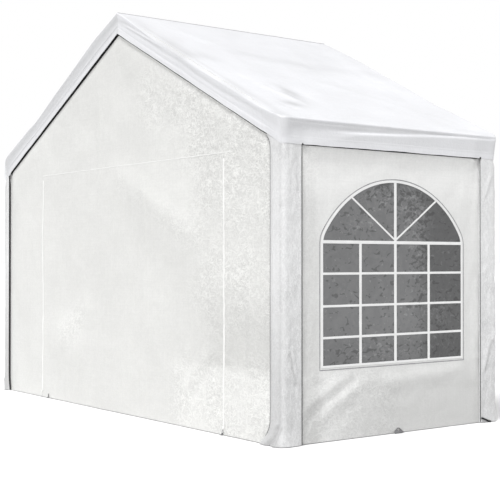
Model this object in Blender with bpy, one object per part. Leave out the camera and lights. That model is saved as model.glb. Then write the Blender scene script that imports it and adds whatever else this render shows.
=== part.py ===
"""A marquee tent, 4 by 2 metres: steel frame, roof cover with valances, zipped gable walls and window walls.

The front gable faces -Y and a window wall faces +X. The origin is on the ground under the middle of the tent.
Lengths are in metres.
"""

import math

import bmesh
import bpy
from mathutils import Vector

# Overall sizes, read from the photograph
RIDGE_TOP = 3.065
EAVE_TOP = 2.060
ROOF_HALF_X = 2.010
ROOF_HALF_Y = 1.018
EAVE_VALANCE_DROP = 0.160
GABLE_VALANCE_DROP = 0.165

# The cloth: real sheeting is 0.3 mm thick, these solids are thicker
SHEET = 0.003
GAP = 0.0003
GROUND_CLEARANCE = 0.002

# Outer faces of the wall panels, and the edges where they end at a corner
WALL_FACE_X = 1.982
WALL_FACE_Y = 0.982
WALL_EDGE_X = 1.972
WALL_EDGE_Y = 0.972

# The corner sleeves that wrap the posts, narrow on one gable edge and wide on the other
SLEEVE_FACE_X = 2.000
SLEEVE_FACE_Y = 1.000
SLEEVE_CORNER_RADIUS = 0.045
SLEEVE_TOP = 1.990
SLEEVE_SIDE_EDGE = 0.830
SLEEVE_GABLE_EDGE_WIDE = 1.882
SLEEVE_GABLE_EDGE_NARROW = 1.942
SLEEVE_ARC_STEPS = 6

# The door in each gable, between two zips and under a seam, with left and right as seen from outside
SEAM_HEIGHT = 1.890
LEFT_ZIP = 1.302
RIGHT_ZIP = 1.363

# The arched window in the middle of each side wall
WINDOW_HALF_WIDTH = 0.652
WINDOW_BOTTOM = 0.480
WINDOW_TOP = 1.700
WINDOW_ARCH_RADIUS = 0.742
WINDOW_HAUNCH_RADIUS = 0.150
ARCH_STEPS = 10
HAUNCH_STEPS = 5
FILM = 0.002

# The steel frame
TUBE_RADIUS = 0.019
SOCKET_RADIUS = 0.022
SOCKET_LENGTH = 0.120
TUBE_SIDES = 24
BALL_RINGS = 12
FOOT_PLATE_SIZE = 0.090
FOOT_PLATE_RIM = 0.003
FOOT_PLATE_THICKNESS = 0.004
FOOT_SOCKET_TOP = 0.120
PEG_HOLE_RADIUS = 0.006
PEG_HOLE_INSET = 0.014
SHARP_EDGE = math.radians(40)

SLOPE = (RIDGE_TOP - EAVE_TOP) / ROOF_HALF_X
PITCH = math.atan(SLOPE)
SHEET_UPRIGHT = SHEET / math.cos(PITCH)
POST_INSET = SHEET + GAP + FOOT_PLATE_RIM + SOCKET_RADIUS
POST_X = WALL_FACE_X - POST_INSET
POST_Y = WALL_FACE_Y - POST_INSET
AXIS_DEPTH = (SHEET + GAP + SOCKET_RADIUS) / math.cos(PITCH)
RIDGE_AXIS = RIDGE_TOP - AXIS_DEPTH
EAVE_AXIS = RIDGE_TOP - SLOPE * POST_X - AXIS_DEPTH

STEEL = ("frame_steel", (0.86, 0.87, 0.88), 0.35, 0.0)
WALL_SHEETING = ("wall_sheeting", (0.90, 0.90, 0.89), 0.50, 0.0)
ROOF_SHEETING = ("roof_sheeting", (0.95, 0.96, 0.98), 0.45, 0.0)
SLEEVE_SHEETING = ("sleeve_sheeting", (0.88, 0.88, 0.89), 0.50, 0.0)
CLEAR_FILM = ("window_film", (0.16, 0.16, 0.165), 0.12, 0.0)

SIDES = {"left": -1, "right": 1}
ENDS = {"front": -1, "rear": 1}


def clear_scene():
    """Removes what the scene holds, and makes the two collections and the tent's parent."""
    for old in list(bpy.data.objects):
        bpy.data.objects.remove(old, do_unlink=True)
    tent = bpy.data.collections.new("marquee_tent")
    cutters = bpy.data.collections.new("cutters")
    bpy.context.scene.collection.children.link(tent)
    bpy.context.scene.collection.children.link(cutters)
    cutters.hide_render = True
    origin = bpy.data.objects.new("tent_origin", None)
    tent.objects.link(origin)
    return tent, cutters, origin


TENT, CUTTERS, ORIGIN = clear_scene()


def material(look):
    """The Principled material of that name, made the first time it is asked for."""
    name, colour, roughness, metallic = look
    made = bpy.data.materials.get(name)
    if made is None:
        made = bpy.data.materials.new(name)
        made.use_nodes = True
        shader = made.node_tree.nodes["Principled BSDF"]
        shader.inputs["Base Color"].default_value = (*colour, 1.0)
        shader.inputs["Roughness"].default_value = roughness
        shader.inputs["Metallic"].default_value = metallic
    return made


def add_part(piece, look):
    """Puts an object in the tent, with its material."""
    piece.data.materials.append(material(look))
    TENT.objects.link(piece)
    piece.parent = ORIGIN
    return piece


def combine(piece, operation, helper):
    """Joins a helper's shape to a piece, or cuts it out, and keeps the helper as a wire outline."""
    helper.hide_render = True
    helper.display_type = "WIRE"
    CUTTERS.objects.link(helper)
    helper.parent = ORIGIN
    modifier = piece.modifiers.new(helper.name, "BOOLEAN")
    modifier.operation = operation
    modifier.object = helper


def finished_object(name, shape, location):
    """Makes an object of a bmesh, smooth where it is round, and moves it into place."""
    mesh = bpy.data.meshes.new(name)
    shape.to_mesh(mesh)
    shape.free()
    mesh.shade_smooth()
    mesh.set_sharp_from_angle(angle=SHARP_EDGE)
    made = bpy.data.objects.new(name, mesh)
    made.location = location
    return made


def bar(name, start, end, radius):
    """A round bar between two points."""
    along = end - start
    shape = bmesh.new()
    bmesh.ops.create_cone(
        shape, cap_ends=True, segments=TUBE_SIDES, radius1=radius, radius2=radius, depth=along.length
    )
    made = finished_object(name, shape, (start + end) / 2)
    made.rotation_euler = along.to_track_quat("Z", "Y").to_euler()
    return made


def ball(name, centre, radius):
    """The ball where a connector's sockets meet."""
    shape = bmesh.new()
    bmesh.ops.create_uvsphere(shape, u_segments=TUBE_SIDES, v_segments=BALL_RINGS, radius=radius)
    return finished_object(name, shape, centre)


def block(name, centre, size):
    """A plain block of that size."""
    shape = bmesh.new()
    bmesh.ops.create_cube(shape, size=1)
    bmesh.ops.scale(shape, vec=size, verts=shape.verts)
    return finished_object(name, shape, centre)


def flat_piece(name, outlines, depth, look):
    """A flat outline, with any holes, extruded to its depth about its own plane."""
    curve = bpy.data.curves.new(name, "CURVE")
    curve.dimensions = "2D"
    curve.fill_mode = "BOTH"
    curve.extrude = depth / 2
    for outline in outlines:
        spline = curve.splines.new("POLY")
        spline.points.add(len(outline) - 1)
        for point, (u, v) in zip(spline.points, outline):
            point.co = (u, v, 0, 1)
        spline.use_cyclic_u = True
    return add_part(bpy.data.objects.new(name, curve), look)


def stand_across(piece, y):
    """Turns a flat outline of (x, z) upright across the tent, centred on y."""
    piece.rotation_euler = (math.pi / 2, 0, 0)
    piece.location.y = y


def stand_along(piece, x):
    """Turns a flat outline of (y, z) upright along the tent, centred on x."""
    piece.rotation_euler = (math.pi / 2, 0, math.pi / 2)
    piece.location.x = x


def rectangle(low_u, low_v, high_u, high_v):
    """The four corners of a rectangle."""
    return [(low_u, low_v), (high_u, low_v), (high_u, high_v), (low_u, high_v)]


def roof_top(x):
    """Height of the roof's outer face over x."""
    return RIDGE_TOP - SLOPE * abs(x)


def roof_under(x):
    """Height of the roof's inner face over x."""
    return roof_top(x) - SHEET_UPRIGHT


def down_slope(distance, x_sign):
    """A step of that length down the roof, on that side."""
    return Vector((x_sign * math.cos(PITCH), 0, -math.sin(PITCH))) * distance


def build_feet():
    """A foot stands at each corner: a plate with a peg hole, and a stub socket that carries the post."""
    for end, y_sign in ENDS.items():
        for side, x_sign in SIDES.items():
            outward = Vector((x_sign, y_sign, 0))
            post = Vector((x_sign * POST_X, y_sign * POST_Y, 0))
            plate_corner = post + outward * (SOCKET_RADIUS + FOOT_PLATE_RIM)
            centre = plate_corner - outward * FOOT_PLATE_SIZE / 2
            centre.z = FOOT_PLATE_THICKNESS / 2
            size = (FOOT_PLATE_SIZE, FOOT_PLATE_SIZE, FOOT_PLATE_THICKNESS)
            foot = add_part(block(f"foot_{end}_{side}", centre, size), STEEL)
            stub_foot = post + Vector((0, 0, FOOT_PLATE_THICKNESS / 2))
            stub_top = post + Vector((0, 0, FOOT_SOCKET_TOP))
            combine(foot, "UNION", bar(f"stub_{end}_{side}", stub_foot, stub_top, SOCKET_RADIUS))
            hole = plate_corner - outward * (FOOT_PLATE_SIZE - PEG_HOLE_INSET)
            reach = Vector((0, 0, 2 * FOOT_PLATE_THICKNESS))
            drill = bar(f"peg_hole_{end}_{side}", hole - reach, hole + reach, PEG_HOLE_RADIUS)
            combine(foot, "DIFFERENCE", drill)


def build_posts():
    """A tube runs from each foot up to the eave connector."""
    for end, y_sign in ENDS.items():
        for side, x_sign in SIDES.items():
            bottom = Vector((x_sign * POST_X, y_sign * POST_Y, FOOT_SOCKET_TOP + GAP))
            top = Vector((bottom.x, bottom.y, EAVE_AXIS - SOCKET_LENGTH - GAP))
            add_part(bar(f"post_{end}_{side}", bottom, top, TUBE_RADIUS), STEEL)


def build_connector(name, centre, tips):
    """A ball with a socket towards each tip."""
    connector = add_part(ball(name, centre, SOCKET_RADIUS), STEEL)
    for number, tip in enumerate(tips):
        combine(connector, "UNION", bar(f"{name}_socket_{number}", centre, tip, SOCKET_RADIUS))


def build_connectors():
    """At each eave corner the sockets go down, up the slope and along the eave. At the ridge, down and along."""
    for end, y_sign in ENDS.items():
        along = Vector((0, -y_sign * SOCKET_LENGTH, 0))
        for side, x_sign in SIDES.items():
            eave = Vector((x_sign * POST_X, y_sign * POST_Y, EAVE_AXIS))
            down = Vector((0, 0, -SOCKET_LENGTH))
            tips = [eave + down, eave - down_slope(SOCKET_LENGTH, x_sign), eave + along]
            build_connector(f"eave_connector_{end}_{side}", eave, tips)
        ridge = Vector((0, y_sign * POST_Y, RIDGE_AXIS))
        tips = [ridge + down_slope(SOCKET_LENGTH, x_sign) for x_sign in SIDES.values()]
        build_connector(f"ridge_connector_{end}", ridge, tips + [ridge + along])


def build_rafters():
    """A tube runs from each eave connector to the ridge connector."""
    for end, y_sign in ENDS.items():
        for side, x_sign in SIDES.items():
            eave = Vector((x_sign * POST_X, y_sign * POST_Y, EAVE_AXIS))
            ridge = Vector((0, y_sign * POST_Y, RIDGE_AXIS))
            clear_of_socket = down_slope(SOCKET_LENGTH + GAP, x_sign)
            rafter = bar(f"rafter_{end}_{side}", eave - clear_of_socket, ridge + clear_of_socket, TUBE_RADIUS)
            add_part(rafter, STEEL)


def build_purlins():
    """A tube runs along each eave and one along the ridge."""
    reach = POST_Y - SOCKET_LENGTH - GAP
    lines = {
        "eave_purlin_left": (-POST_X, EAVE_AXIS),
        "eave_purlin_right": (POST_X, EAVE_AXIS),
        "ridge_purlin": (0, RIDGE_AXIS),
    }
    for name, (x, z) in lines.items():
        add_part(bar(name, Vector((x, -reach, z)), Vector((x, reach, z)), TUBE_RADIUS), STEEL)


def build_roof_cover():
    """The roof cover has two slopes, a valance along each eave, and one down each half of each gable."""
    for side, x_sign in SIDES.items():
        xs = (x_sign * GAP / 2, x_sign * ROOF_HALF_X)
        outline = [(x, roof_top(x)) for x in xs] + [(x, roof_under(x)) for x in reversed(xs)]
        stand_across(flat_piece(f"roof_slope_{side}", [outline], 2 * ROOF_HALF_Y, ROOF_SHEETING), 0)
        reach = ROOF_HALF_Y - SHEET - GAP
        strip = rectangle(-reach, EAVE_TOP - EAVE_VALANCE_DROP, reach, roof_under(ROOF_HALF_X) - GAP)
        valance = flat_piece(f"eave_valance_{side}", [strip], SHEET, ROOF_SHEETING)
        stand_along(valance, x_sign * (ROOF_HALF_X - SHEET / 2))
        for end, y_sign in ENDS.items():
            upper = [(x, roof_under(x) - GAP) for x in xs]
            lower = [(x, roof_top(x) - GABLE_VALANCE_DROP) for x in reversed(xs)]
            valance = flat_piece(f"gable_valance_{end}_{side}", [upper + lower], SHEET, ROOF_SHEETING)
            stand_across(valance, y_sign * (ROOF_HALF_Y - SHEET / 2))


def build_gable_walls():
    """Each gable has a strip at either side, a door between two zips, and a pointed top above the seam."""
    low, high = GROUND_CLEARANCE, SEAM_HEIGHT - GAP
    corner = roof_under(WALL_EDGE_X) - GAP
    top = [
        (-WALL_EDGE_X, SEAM_HEIGHT),
        (WALL_EDGE_X, SEAM_HEIGHT),
        (WALL_EDGE_X, corner),
        (0, roof_under(0) - GAP),
        (-WALL_EDGE_X, corner),
    ]
    for end, y_sign in ENDS.items():
        middle = y_sign * (WALL_FACE_Y - SHEET / 2)
        stand_across(flat_piece(f"gable_top_{end}", [top], SHEET, WALL_SHEETING), middle)
        door_edges = []
        for side, x_sign in SIDES.items():
            zip_line = RIGHT_ZIP if x_sign == -y_sign else LEFT_ZIP
            door_edges.append(x_sign * (zip_line - GAP))
            low_x, high_x = sorted((x_sign * zip_line, x_sign * WALL_EDGE_X))
            strip = rectangle(low_x, low, high_x, high)
            stand_across(flat_piece(f"gable_wall_{end}_{side}", [strip], SHEET, WALL_SHEETING), middle)
        door = rectangle(door_edges[0], low, door_edges[1], high)
        stand_across(flat_piece(f"door_{end}", [door], SHEET, WALL_SHEETING), middle)


def window_outline(margin):
    """The window in (y, z), larger all round by the margin: a low arch with tight rounds at its haunches."""
    half = WINDOW_HALF_WIDTH + margin
    crown = WINDOW_ARCH_RADIUS + margin
    haunch = WINDOW_HAUNCH_RADIUS + margin
    crown_z = WINDOW_TOP - WINDOW_ARCH_RADIUS
    haunch_y = half - haunch
    rise = math.sqrt((crown - haunch) ** 2 - haunch_y**2)
    meeting = math.atan2(rise, haunch_y)
    right = []
    for step in range(HAUNCH_STEPS):
        angle = meeting * step / HAUNCH_STEPS
        right.append((haunch_y + haunch * math.cos(angle), crown_z + rise + haunch * math.sin(angle)))
    for step in range(ARCH_STEPS + 1):
        angle = meeting + (math.pi / 2 - meeting) * step / ARCH_STEPS
        right.append((crown * math.cos(angle), crown_z + crown * math.sin(angle)))
    left = [(-y, z) for y, z in reversed(right[:-1])]
    foot = [(-half, WINDOW_BOTTOM - margin), (half, WINDOW_BOTTOM - margin)]
    return foot + right + left


def build_window_walls():
    """Each side wall is one sheet with an arched hole, and a clear film fills the hole."""
    top = roof_under(WALL_FACE_X) - GAP
    sheet = rectangle(-WALL_EDGE_Y, GROUND_CLEARANCE, WALL_EDGE_Y, top)
    for side, x_sign in SIDES.items():
        middle = x_sign * (WALL_FACE_X - SHEET / 2)
        wall = flat_piece(f"window_wall_{side}", [sheet, window_outline(0)], SHEET, WALL_SHEETING)
        stand_along(wall, middle)
        film = flat_piece(f"window_film_{side}", [window_outline(-GAP)], FILM, CLEAR_FILM)
        stand_along(film, middle)


def sleeve_arc(radius):
    """The round corner of a sleeve in plan, from its gable face to its side face."""
    arc_x = SLEEVE_FACE_X - SLEEVE_CORNER_RADIUS
    arc_y = SLEEVE_FACE_Y - SLEEVE_CORNER_RADIUS
    points = []
    for step in range(SLEEVE_ARC_STEPS + 1):
        angle = math.pi / 2 * (1 - step / SLEEVE_ARC_STEPS)
        points.append((arc_x + radius * math.cos(angle), arc_y + radius * math.sin(angle)))
    return points


def sleeve_outline(x_sign, y_sign, gable_edge):
    """Plan of a sleeve: an arm on each wall, a round corner, and a lip turned in at each arm's edge."""
    lip_x = WALL_FACE_X + GAP
    lip_y = WALL_FACE_Y + GAP
    outer = [(gable_edge, lip_y), (gable_edge, SLEEVE_FACE_Y)]
    outer += sleeve_arc(SLEEVE_CORNER_RADIUS)
    outer += [(SLEEVE_FACE_X, SLEEVE_SIDE_EDGE), (lip_x, SLEEVE_SIDE_EDGE)]
    inner = [(gable_edge + SHEET, lip_y), (gable_edge + SHEET, SLEEVE_FACE_Y - SHEET)]
    inner += sleeve_arc(SLEEVE_CORNER_RADIUS - SHEET)
    inner += [(SLEEVE_FACE_X - SHEET, SLEEVE_SIDE_EDGE + SHEET), (lip_x, SLEEVE_SIDE_EDGE + SHEET)]
    return [(x_sign * x, y_sign * y) for x, y in outer + inner[::-1]]


def build_corner_sleeves():
    """A sleeve wraps each corner. On each gable the right one, seen from outside, is the wider."""
    for end, y_sign in ENDS.items():
        for side, x_sign in SIDES.items():
            gable_edge = SLEEVE_GABLE_EDGE_WIDE if x_sign == -y_sign else SLEEVE_GABLE_EDGE_NARROW
            outline = sleeve_outline(x_sign, y_sign, gable_edge)
            height = SLEEVE_TOP - GROUND_CLEARANCE
            sleeve = flat_piece(f"corner_sleeve_{end}_{side}", [outline], height, SLEEVE_SHEETING)
            sleeve.location.z = GROUND_CLEARANCE + height / 2


build_feet()
build_posts()
build_connectors()
build_rafters()
build_purlins()
build_roof_cover()
build_gable_walls()
build_window_walls()
build_corner_sleeves()
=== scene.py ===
import math

import bpy
import numpy as np
from mathutils import Matrix, Vector, noise


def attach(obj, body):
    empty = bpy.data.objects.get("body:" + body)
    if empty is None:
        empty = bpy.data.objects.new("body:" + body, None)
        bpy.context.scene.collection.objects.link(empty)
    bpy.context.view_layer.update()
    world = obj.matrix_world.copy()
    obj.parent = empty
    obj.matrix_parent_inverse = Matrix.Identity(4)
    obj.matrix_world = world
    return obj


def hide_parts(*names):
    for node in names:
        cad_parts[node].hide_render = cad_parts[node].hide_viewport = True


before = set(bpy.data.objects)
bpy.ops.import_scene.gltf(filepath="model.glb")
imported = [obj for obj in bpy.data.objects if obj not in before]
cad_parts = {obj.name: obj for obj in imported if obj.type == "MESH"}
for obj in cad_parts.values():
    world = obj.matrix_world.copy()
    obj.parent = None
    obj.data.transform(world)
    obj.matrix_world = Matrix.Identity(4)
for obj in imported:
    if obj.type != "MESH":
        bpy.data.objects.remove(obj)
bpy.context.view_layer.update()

# The camera stands low off the front right corner with a long lens, as the photographer did. The tent stands
# on a plain white floor in a pale studio that is brightest round the horizon, under one wide soft light that
# is high up at the front right.
CAMERA_PLACE = (7.4811, -5.3627, 1.1671)
CAMERA_HEADING = math.radians(53.078)
CAMERA_PITCH = math.radians(0.529)
FLOOR_RADIUS = 300
CEILING_GLOW = 0.38
bpy.ops.object.camera_add(location=CAMERA_PLACE, rotation=(math.pi / 2 + CAMERA_PITCH, 0, CAMERA_HEADING))
camera = bpy.context.object
camera.data.lens = 81.04
camera.data.sensor_width = 36
camera.data.clip_end = 1000
bpy.context.scene.camera = camera
bpy.context.scene.view_settings.view_transform = "Standard"


def join(tree, node, sockets):
    """Sets a node's sockets to values, or joins them to other nodes' sockets. n2 is its third socket."""
    for name, value in sockets.items():
        by_number = name[0] == "n" and name[1:].isdigit()
        socket = node.inputs[int(name[1:]) if by_number else name.replace("_", " ")]
        if isinstance(value, bpy.types.NodeSocket):
            tree.links.new(value, socket)
        else:
            socket.default_value = value


def add_node(tree, kind, settings=None, **sockets):
    """A shader node with its settings, and its sockets set or joined."""
    made = tree.nodes.new("ShaderNode" + kind)
    for name, value in (settings or {}).items():
        setattr(made, name, value)
    join(tree, made, sockets)
    return made


def remapped(tree, value, *ends):
    """A value that is moved from the range of the first two ends to the range of the last two."""
    return add_node(tree, "MapRange", n0=value, **{f"n{i + 1}": end for i, end in enumerate(ends)}).outputs[0]


studio = bpy.data.worlds.new("studio")
studio.use_nodes = True
way = add_node(studio.node_tree, "TexCoord").outputs["Generated"]
rise = add_node(studio.node_tree, "SeparateXYZ", n0=way).outputs["Z"]
glow = remapped(studio.node_tree, rise, 0.25, 0.60, 1.0, CEILING_GLOW)
join(studio.node_tree, studio.node_tree.nodes["Background"], {"Strength": glow, "Color": (1, 1, 1, 1)})
bpy.context.scene.world = studio


def soft_light(name, heading, height, spread, strength):
    """A distant soft light from a heading and a height in degrees, as wide as its spread."""
    bpy.ops.object.light_add(type="SUN", rotation=(math.radians(90 - height), 0, math.radians(heading)))
    light = bpy.context.object
    light.name = name
    light.data.energy = strength
    light.data.angle = math.radians(spread)


soft_light("overhead_light", 35, 62, 20, 3.7)

bpy.ops.mesh.primitive_circle_add(vertices=96, radius=FLOOR_RADIUS, fill_type="NGON", location=(0, 0, -0.002))
floor = bpy.context.object
floor.name = "studio_floor"
floor_white = bpy.data.materials.new("studio_floor_white")
floor_white.use_nodes = True
matt = {"Base_Color": (0.74, 0.74, 0.74, 1), "Roughness": 1.0, "Specular_IOR_Level": 0.0}
join(floor_white.node_tree, floor_white.node_tree.nodes["Principled BSDF"], matt)
floor.data.materials.append(floor_white)

# The frame is 38 mm steel tube in white powder coat: a foot and a post at each corner, connectors with
# sockets at the eaves and the ridge, and rafters and purlins between them. Each socket clamps its tube
# with one bolt, whose head faces into the tent.
STEEL_PARTS = ("foot", "post", "rafter", "connector", "purlin")
SIDES = {"left": -1, "right": 1}
ENDS = {"front": -1, "rear": 1}
POST_X = 1.9537
POST_Y = 0.9537
EAVE_AXIS = 2.0599
RIDGE_AXIS = 3.0367
PITCH = math.atan(0.5)
SOCKET_RADIUS = 0.022
BOLT_FROM_JOINT = 0.092
FOOT_BOLT_HEIGHT = 0.085
WASHER_RADIUS = 0.0085
WASHER_THICK = 0.0016
HEAD_RADIUS = 0.0066
HEAD_THICK = 0.0052


def two_tones(tree, share, low, high, dark, pale):
    """A ramp from one colour to another as share goes from low to high."""
    ramp = add_node(tree, "ValToRGB", n0=share)
    for element, position, colour in zip(ramp.color_ramp.elements, (low, high), (dark, pale)):
        element.position = position
        element.color = (*colour, 1)
    return ramp.outputs["Color"]


def clouds(tree, place, scale, detail, **sockets):
    """Soft noise of that scale."""
    return add_node(tree, "TexNoise", n0=place, Scale=scale, Detail=detail, **sockets).outputs["Fac"]


def bumped(tree, height, strength, depth, **sockets):
    """A surface raised by height."""
    bump = add_node(tree, "Bump", Height=height, Strength=strength, Distance=depth, **sockets)
    return bump.outputs["Normal"]


def new_material(name):
    """A new material with its node tree, and the object's own coordinates."""
    made = bpy.data.materials.new(name)
    made.use_nodes = True
    return made, made.node_tree, add_node(made.node_tree, "TexCoord").outputs["Object"]


def finish(material, **sockets):
    """Sets or joins sockets of a material's shader."""
    join(material.node_tree, material.node_tree.nodes["Principled BSDF"], sockets)
    return material


def mottled(name, scale, detail, reach, dark, pale, roughness, **sockets):
    """A finish that drifts between two tones, with one roughness or a drift between two."""
    made, tree, place = new_material(name)
    drift = clouds(tree, place, scale, detail)
    if isinstance(roughness, tuple):
        roughness = remapped(tree, drift, 0, 1, *roughness)
    return finish(made, Base_Color=two_tones(tree, drift, *reach, dark, pale), Roughness=roughness, **sockets)


powder_coat, tree, place = new_material("powder_coated_steel")
cloud = clouds(tree, place, 6.0, 3.0)
rubs = clouds(tree, place, 38.0, 6.0, Distortion=1.2)
coat = two_tones(tree, cloud, 0.35, 0.65, (0.70, 0.71, 0.72), (0.78, 0.79, 0.80))
worn = two_tones(tree, rubs, 0.70, 0.76, (0, 0, 0), (1, 1, 1))
mixed = add_node(tree, "Mix", {"data_type": "RGBA"}, n0=worn, n6=coat, n7=(0.48, 0.48, 0.49, 1)).outputs[2]
peel = bumped(tree, clouds(tree, place, 420.0, 2.0), 0.25, 0.0004)
finish(powder_coat, Base_Color=mixed, Roughness=remapped(tree, cloud, 0, 1, 0.30, 0.42), Normal=peel)
for node_name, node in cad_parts.items():
    if any(part in node_name for part in STEEL_PARTS):
        node.material_slots[0].material = powder_coat
zinc = mottled("zinc_plated_steel", 160.0, 4.0, (0.3, 0.7), (0.42, 0.43, 0.45), (0.62, 0.63, 0.66),
               (0.28, 0.5), Metallic=1.0)


def fixed(piece, slot, *replaced):
    """Puts a piece on the root, as nothing of the tent moves, in place of the CAD nodes that it replaces."""
    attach(piece, "root")
    if replaced:
        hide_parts(*replaced)


def rounded(width):
    """The active part with its edges rounded by that width."""
    part = bpy.context.object
    rounding = part.modifiers.new("rounding", "BEVEL")
    rounding.width = width
    rounding.segments = 2
    bpy.ops.object.modifier_apply(modifier="rounding")
    return part


def one_piece(name, parts, material):
    """Joins parts into one piece with its place in its mesh."""
    bpy.ops.object.select_all(action="DESELECT")
    for part in parts:
        part.select_set(True)
    bpy.context.view_layer.objects.active = parts[0]
    if len(parts) > 1:
        bpy.ops.object.join()
    bpy.ops.object.transform_apply(location=True, rotation=True, scale=True)
    piece = bpy.context.object
    piece.name = name
    piece.data.name = name
    piece.data.materials.clear()
    piece.data.materials.append(material)
    return piece


def new_piece(name, points, faces, material, flat=None):
    """A piece of those points and faces, on its own selected, with its flat pattern in metres as a UV map."""
    mesh = bpy.data.meshes.new(name)
    mesh.from_pydata(np.asarray(points).tolist(), [], faces)
    if flat is not None:
        pattern = mesh.uv_layers.new(name="cloth")
        corners = np.zeros(len(mesh.loops), np.int32)
        mesh.loops.foreach_get("vertex_index", corners)
        pattern.data.foreach_set("uv", np.asarray(flat, np.float32)[corners].ravel())
    mesh.materials.append(material)
    piece = bpy.data.objects.new(name, mesh)
    bpy.context.collection.objects.link(piece)
    bpy.ops.object.select_all(action="DESELECT")
    piece.select_set(True)
    bpy.context.view_layer.objects.active = piece
    return piece


def repeated(name, part, matrices, material):
    """One piece of many copies of a part, each with its own mesh moved by a matrix. The part is removed."""
    corners = np.array([vertex.co for vertex in part.data.vertices])
    sides = [list(face.vertices) for face in part.data.polygons]
    moves = [(np.array(move.to_3x3()).T, np.array(move.translation)) for move in matrices]
    points = np.concatenate([corners @ turn + shift for turn, shift in moves])
    starts = [copy * len(corners) for copy in range(len(matrices))]
    faces = [[start + corner for corner in side] for start in starts for side in sides]
    bpy.data.objects.remove(part)
    return new_piece(name, points, faces, material)


bpy.ops.object.select_all(action="DESELECT")
seat = (0, 0, WASHER_THICK / 2)
bpy.ops.mesh.primitive_cylinder_add(vertices=20, radius=WASHER_RADIUS, depth=WASHER_THICK, location=seat)
washer = bpy.context.object
seat = (0, 0, WASHER_THICK + HEAD_THICK / 2)
bpy.ops.mesh.primitive_cylinder_add(vertices=6, radius=HEAD_RADIUS, depth=HEAD_THICK, location=seat)
head = rounded(0.0008)
bolt = one_piece("bolt", [washer, head], zinc)
bolts = []
for y_sign in ENDS.values():
    along = Vector((0, -y_sign, 0))
    ridge = Vector((0, y_sign * POST_Y, RIDGE_AXIS))
    down = Vector((0, 0, -1))
    sockets = [(ridge, along, down)]
    for x_sign in SIDES.values():
        eave = Vector((x_sign * POST_X, y_sign * POST_Y, EAVE_AXIS))
        up_slope = Vector((-x_sign * math.cos(PITCH), 0, math.sin(PITCH)))
        under_slope = Vector((-x_sign * math.sin(PITCH), 0, -math.cos(PITCH)))
        foot = Vector((eave.x, eave.y, FOOT_BOLT_HEIGHT - BOLT_FROM_JOINT))
        inward = Vector((-x_sign, 0, 0))
        sockets += [(eave, down, inward), (eave, up_slope, under_slope), (eave, along, down)]
        sockets += [(ridge, -up_slope, under_slope), (foot, -down, inward)]
    for joint, run, facing in sockets:
        seat = joint + run * BOLT_FROM_JOINT + facing * (SOCKET_RADIUS - 0.0006)
        bolts.append(Matrix.Translation(seat) @ facing.to_track_quat("Z", "Y").to_matrix().to_4x4())
frame_bolts = repeated("frame_bolts", bolt, bolts, zinc)
fixed(frame_bolts, "frame_steel")

# The roof cover is one sheet of coated woven polyethylene. It lies over the ridge and the rafters, hangs down
# all round as a valance, and is welded at the four corners. It sags between the tubes, is slack at its edges,
# and keeps the folds that it was packed in.
RIDGE_TOP = 3.065
ROOF_SLOPE = 0.5
ROOF_EDGE_X = 2.0085
ROOF_EDGE_Y = 1.0165
CLOTH_MIDDLE = 0.0015
CLOTH = 0.002
EDGE_FOLD = 0.007
ROOF_STEP = 0.0205
EAVE_EDGE = 2.058
EAVE_HEM = 1.9005
GABLE_HEM_DROP = 0.1645
CORNER_HEM = 1.8985
HEM_START = 0.69
VALANCE_ROWS = [*np.linspace(0.045, 0.675, 15), 0.69, 0.705, 0.75, 0.80, 0.85, 0.90, 0.95, 1.0]
GABLE_INSET = 0.0055
SLEEVE_INSET = (0.0070, 0.0150)
SLEEVE_ARMS = {"front_right": 1.882, "rear_left": 1.882, "front_left": 1.942, "rear_right": 1.942}


def smooth(value, low, high):
    """0 at low, 1 at high and a soft step between them."""
    share = np.clip((value - low) / (high - low), 0, 1)
    return share * share * (3 - 2 * share)


def ripples(u, v, size, seed):
    """Uneven soft folds of about that size, from about -1 to 1, at flat places in metres."""
    return np.array([noise.fractal((a / size, b / size, seed), 0.9, 2.0, 3) for a, b in zip(u, v)])


def creases(u, v, size, seed):
    """Small sharp folds, as in sheeting that was packed away, from 0 in their lines to about 1."""
    return np.array([noise.turbulence((a / size, b / size, seed), 2, True) for a, b in zip(u, v)])


def hump(off, width):
    """1 at nought and 0 a width or two away from it."""
    return np.exp(-((off / width) ** 2))


def fold_line(u, v, start, end, width):
    """One soft fold from start to end: 1 on its line and 0 away from it."""
    run = np.subtract(end, start)
    length = np.hypot(*run)
    along = ((u - start[0]) * run[0] + (v - start[1]) * run[1]) / length
    off = ((v - start[1]) * run[0] - (u - start[0]) * run[1]) / length
    return hump(off, width) * smooth(along, -width, width) * smooth(length - along, -width, width)


def folds(u, v, *lines):
    """Soft folds together, each with its height, start, end and width."""
    return sum(height * fold_line(u, v, start, end, width) for height, start, end, width in lines)


def patches(u, v, *places):
    """Soft round patches together, each with its strength, its middle and its half width and height."""
    return sum(strength * hump(u - middle[0], half_u) * hump(v - middle[1], half_v)
               for strength, middle, half_u, half_v in places)


def through(value, places, heights):
    """A soft wave through some heights."""
    place = np.clip(np.searchsorted(places, value) - 1, 0, len(places) - 2)
    low, high = np.take(places, place), np.take(places, place + 1)
    start, end = np.take(heights, place), np.take(heights, place + 1)
    return start + (end - start) * smooth(value, low, high)


def cloth_piece(name, points, flat, crease_and_tone, faces, material, thickness=CLOTH):
    """A piece of cloth, given its thickness, with its flat pattern, and how creased and how pale it is."""
    piece = new_piece(name, points, faces, material, flat)
    for label, share in zip(("creased", "pale"), crease_and_tone):
        worn = piece.data.attributes.new(label, "FLOAT", "POINT")
        worn.data.foreach_set("value", np.broadcast_to(np.asarray(share, np.float32), len(points)).copy())
    shell = piece.modifiers.new("thickness", "SOLIDIFY")
    shell.thickness = thickness
    shell.offset = 0
    bpy.ops.object.modifier_apply(modifier="thickness")
    bpy.ops.object.shade_smooth_by_angle(angle=math.radians(60))
    return piece


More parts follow.
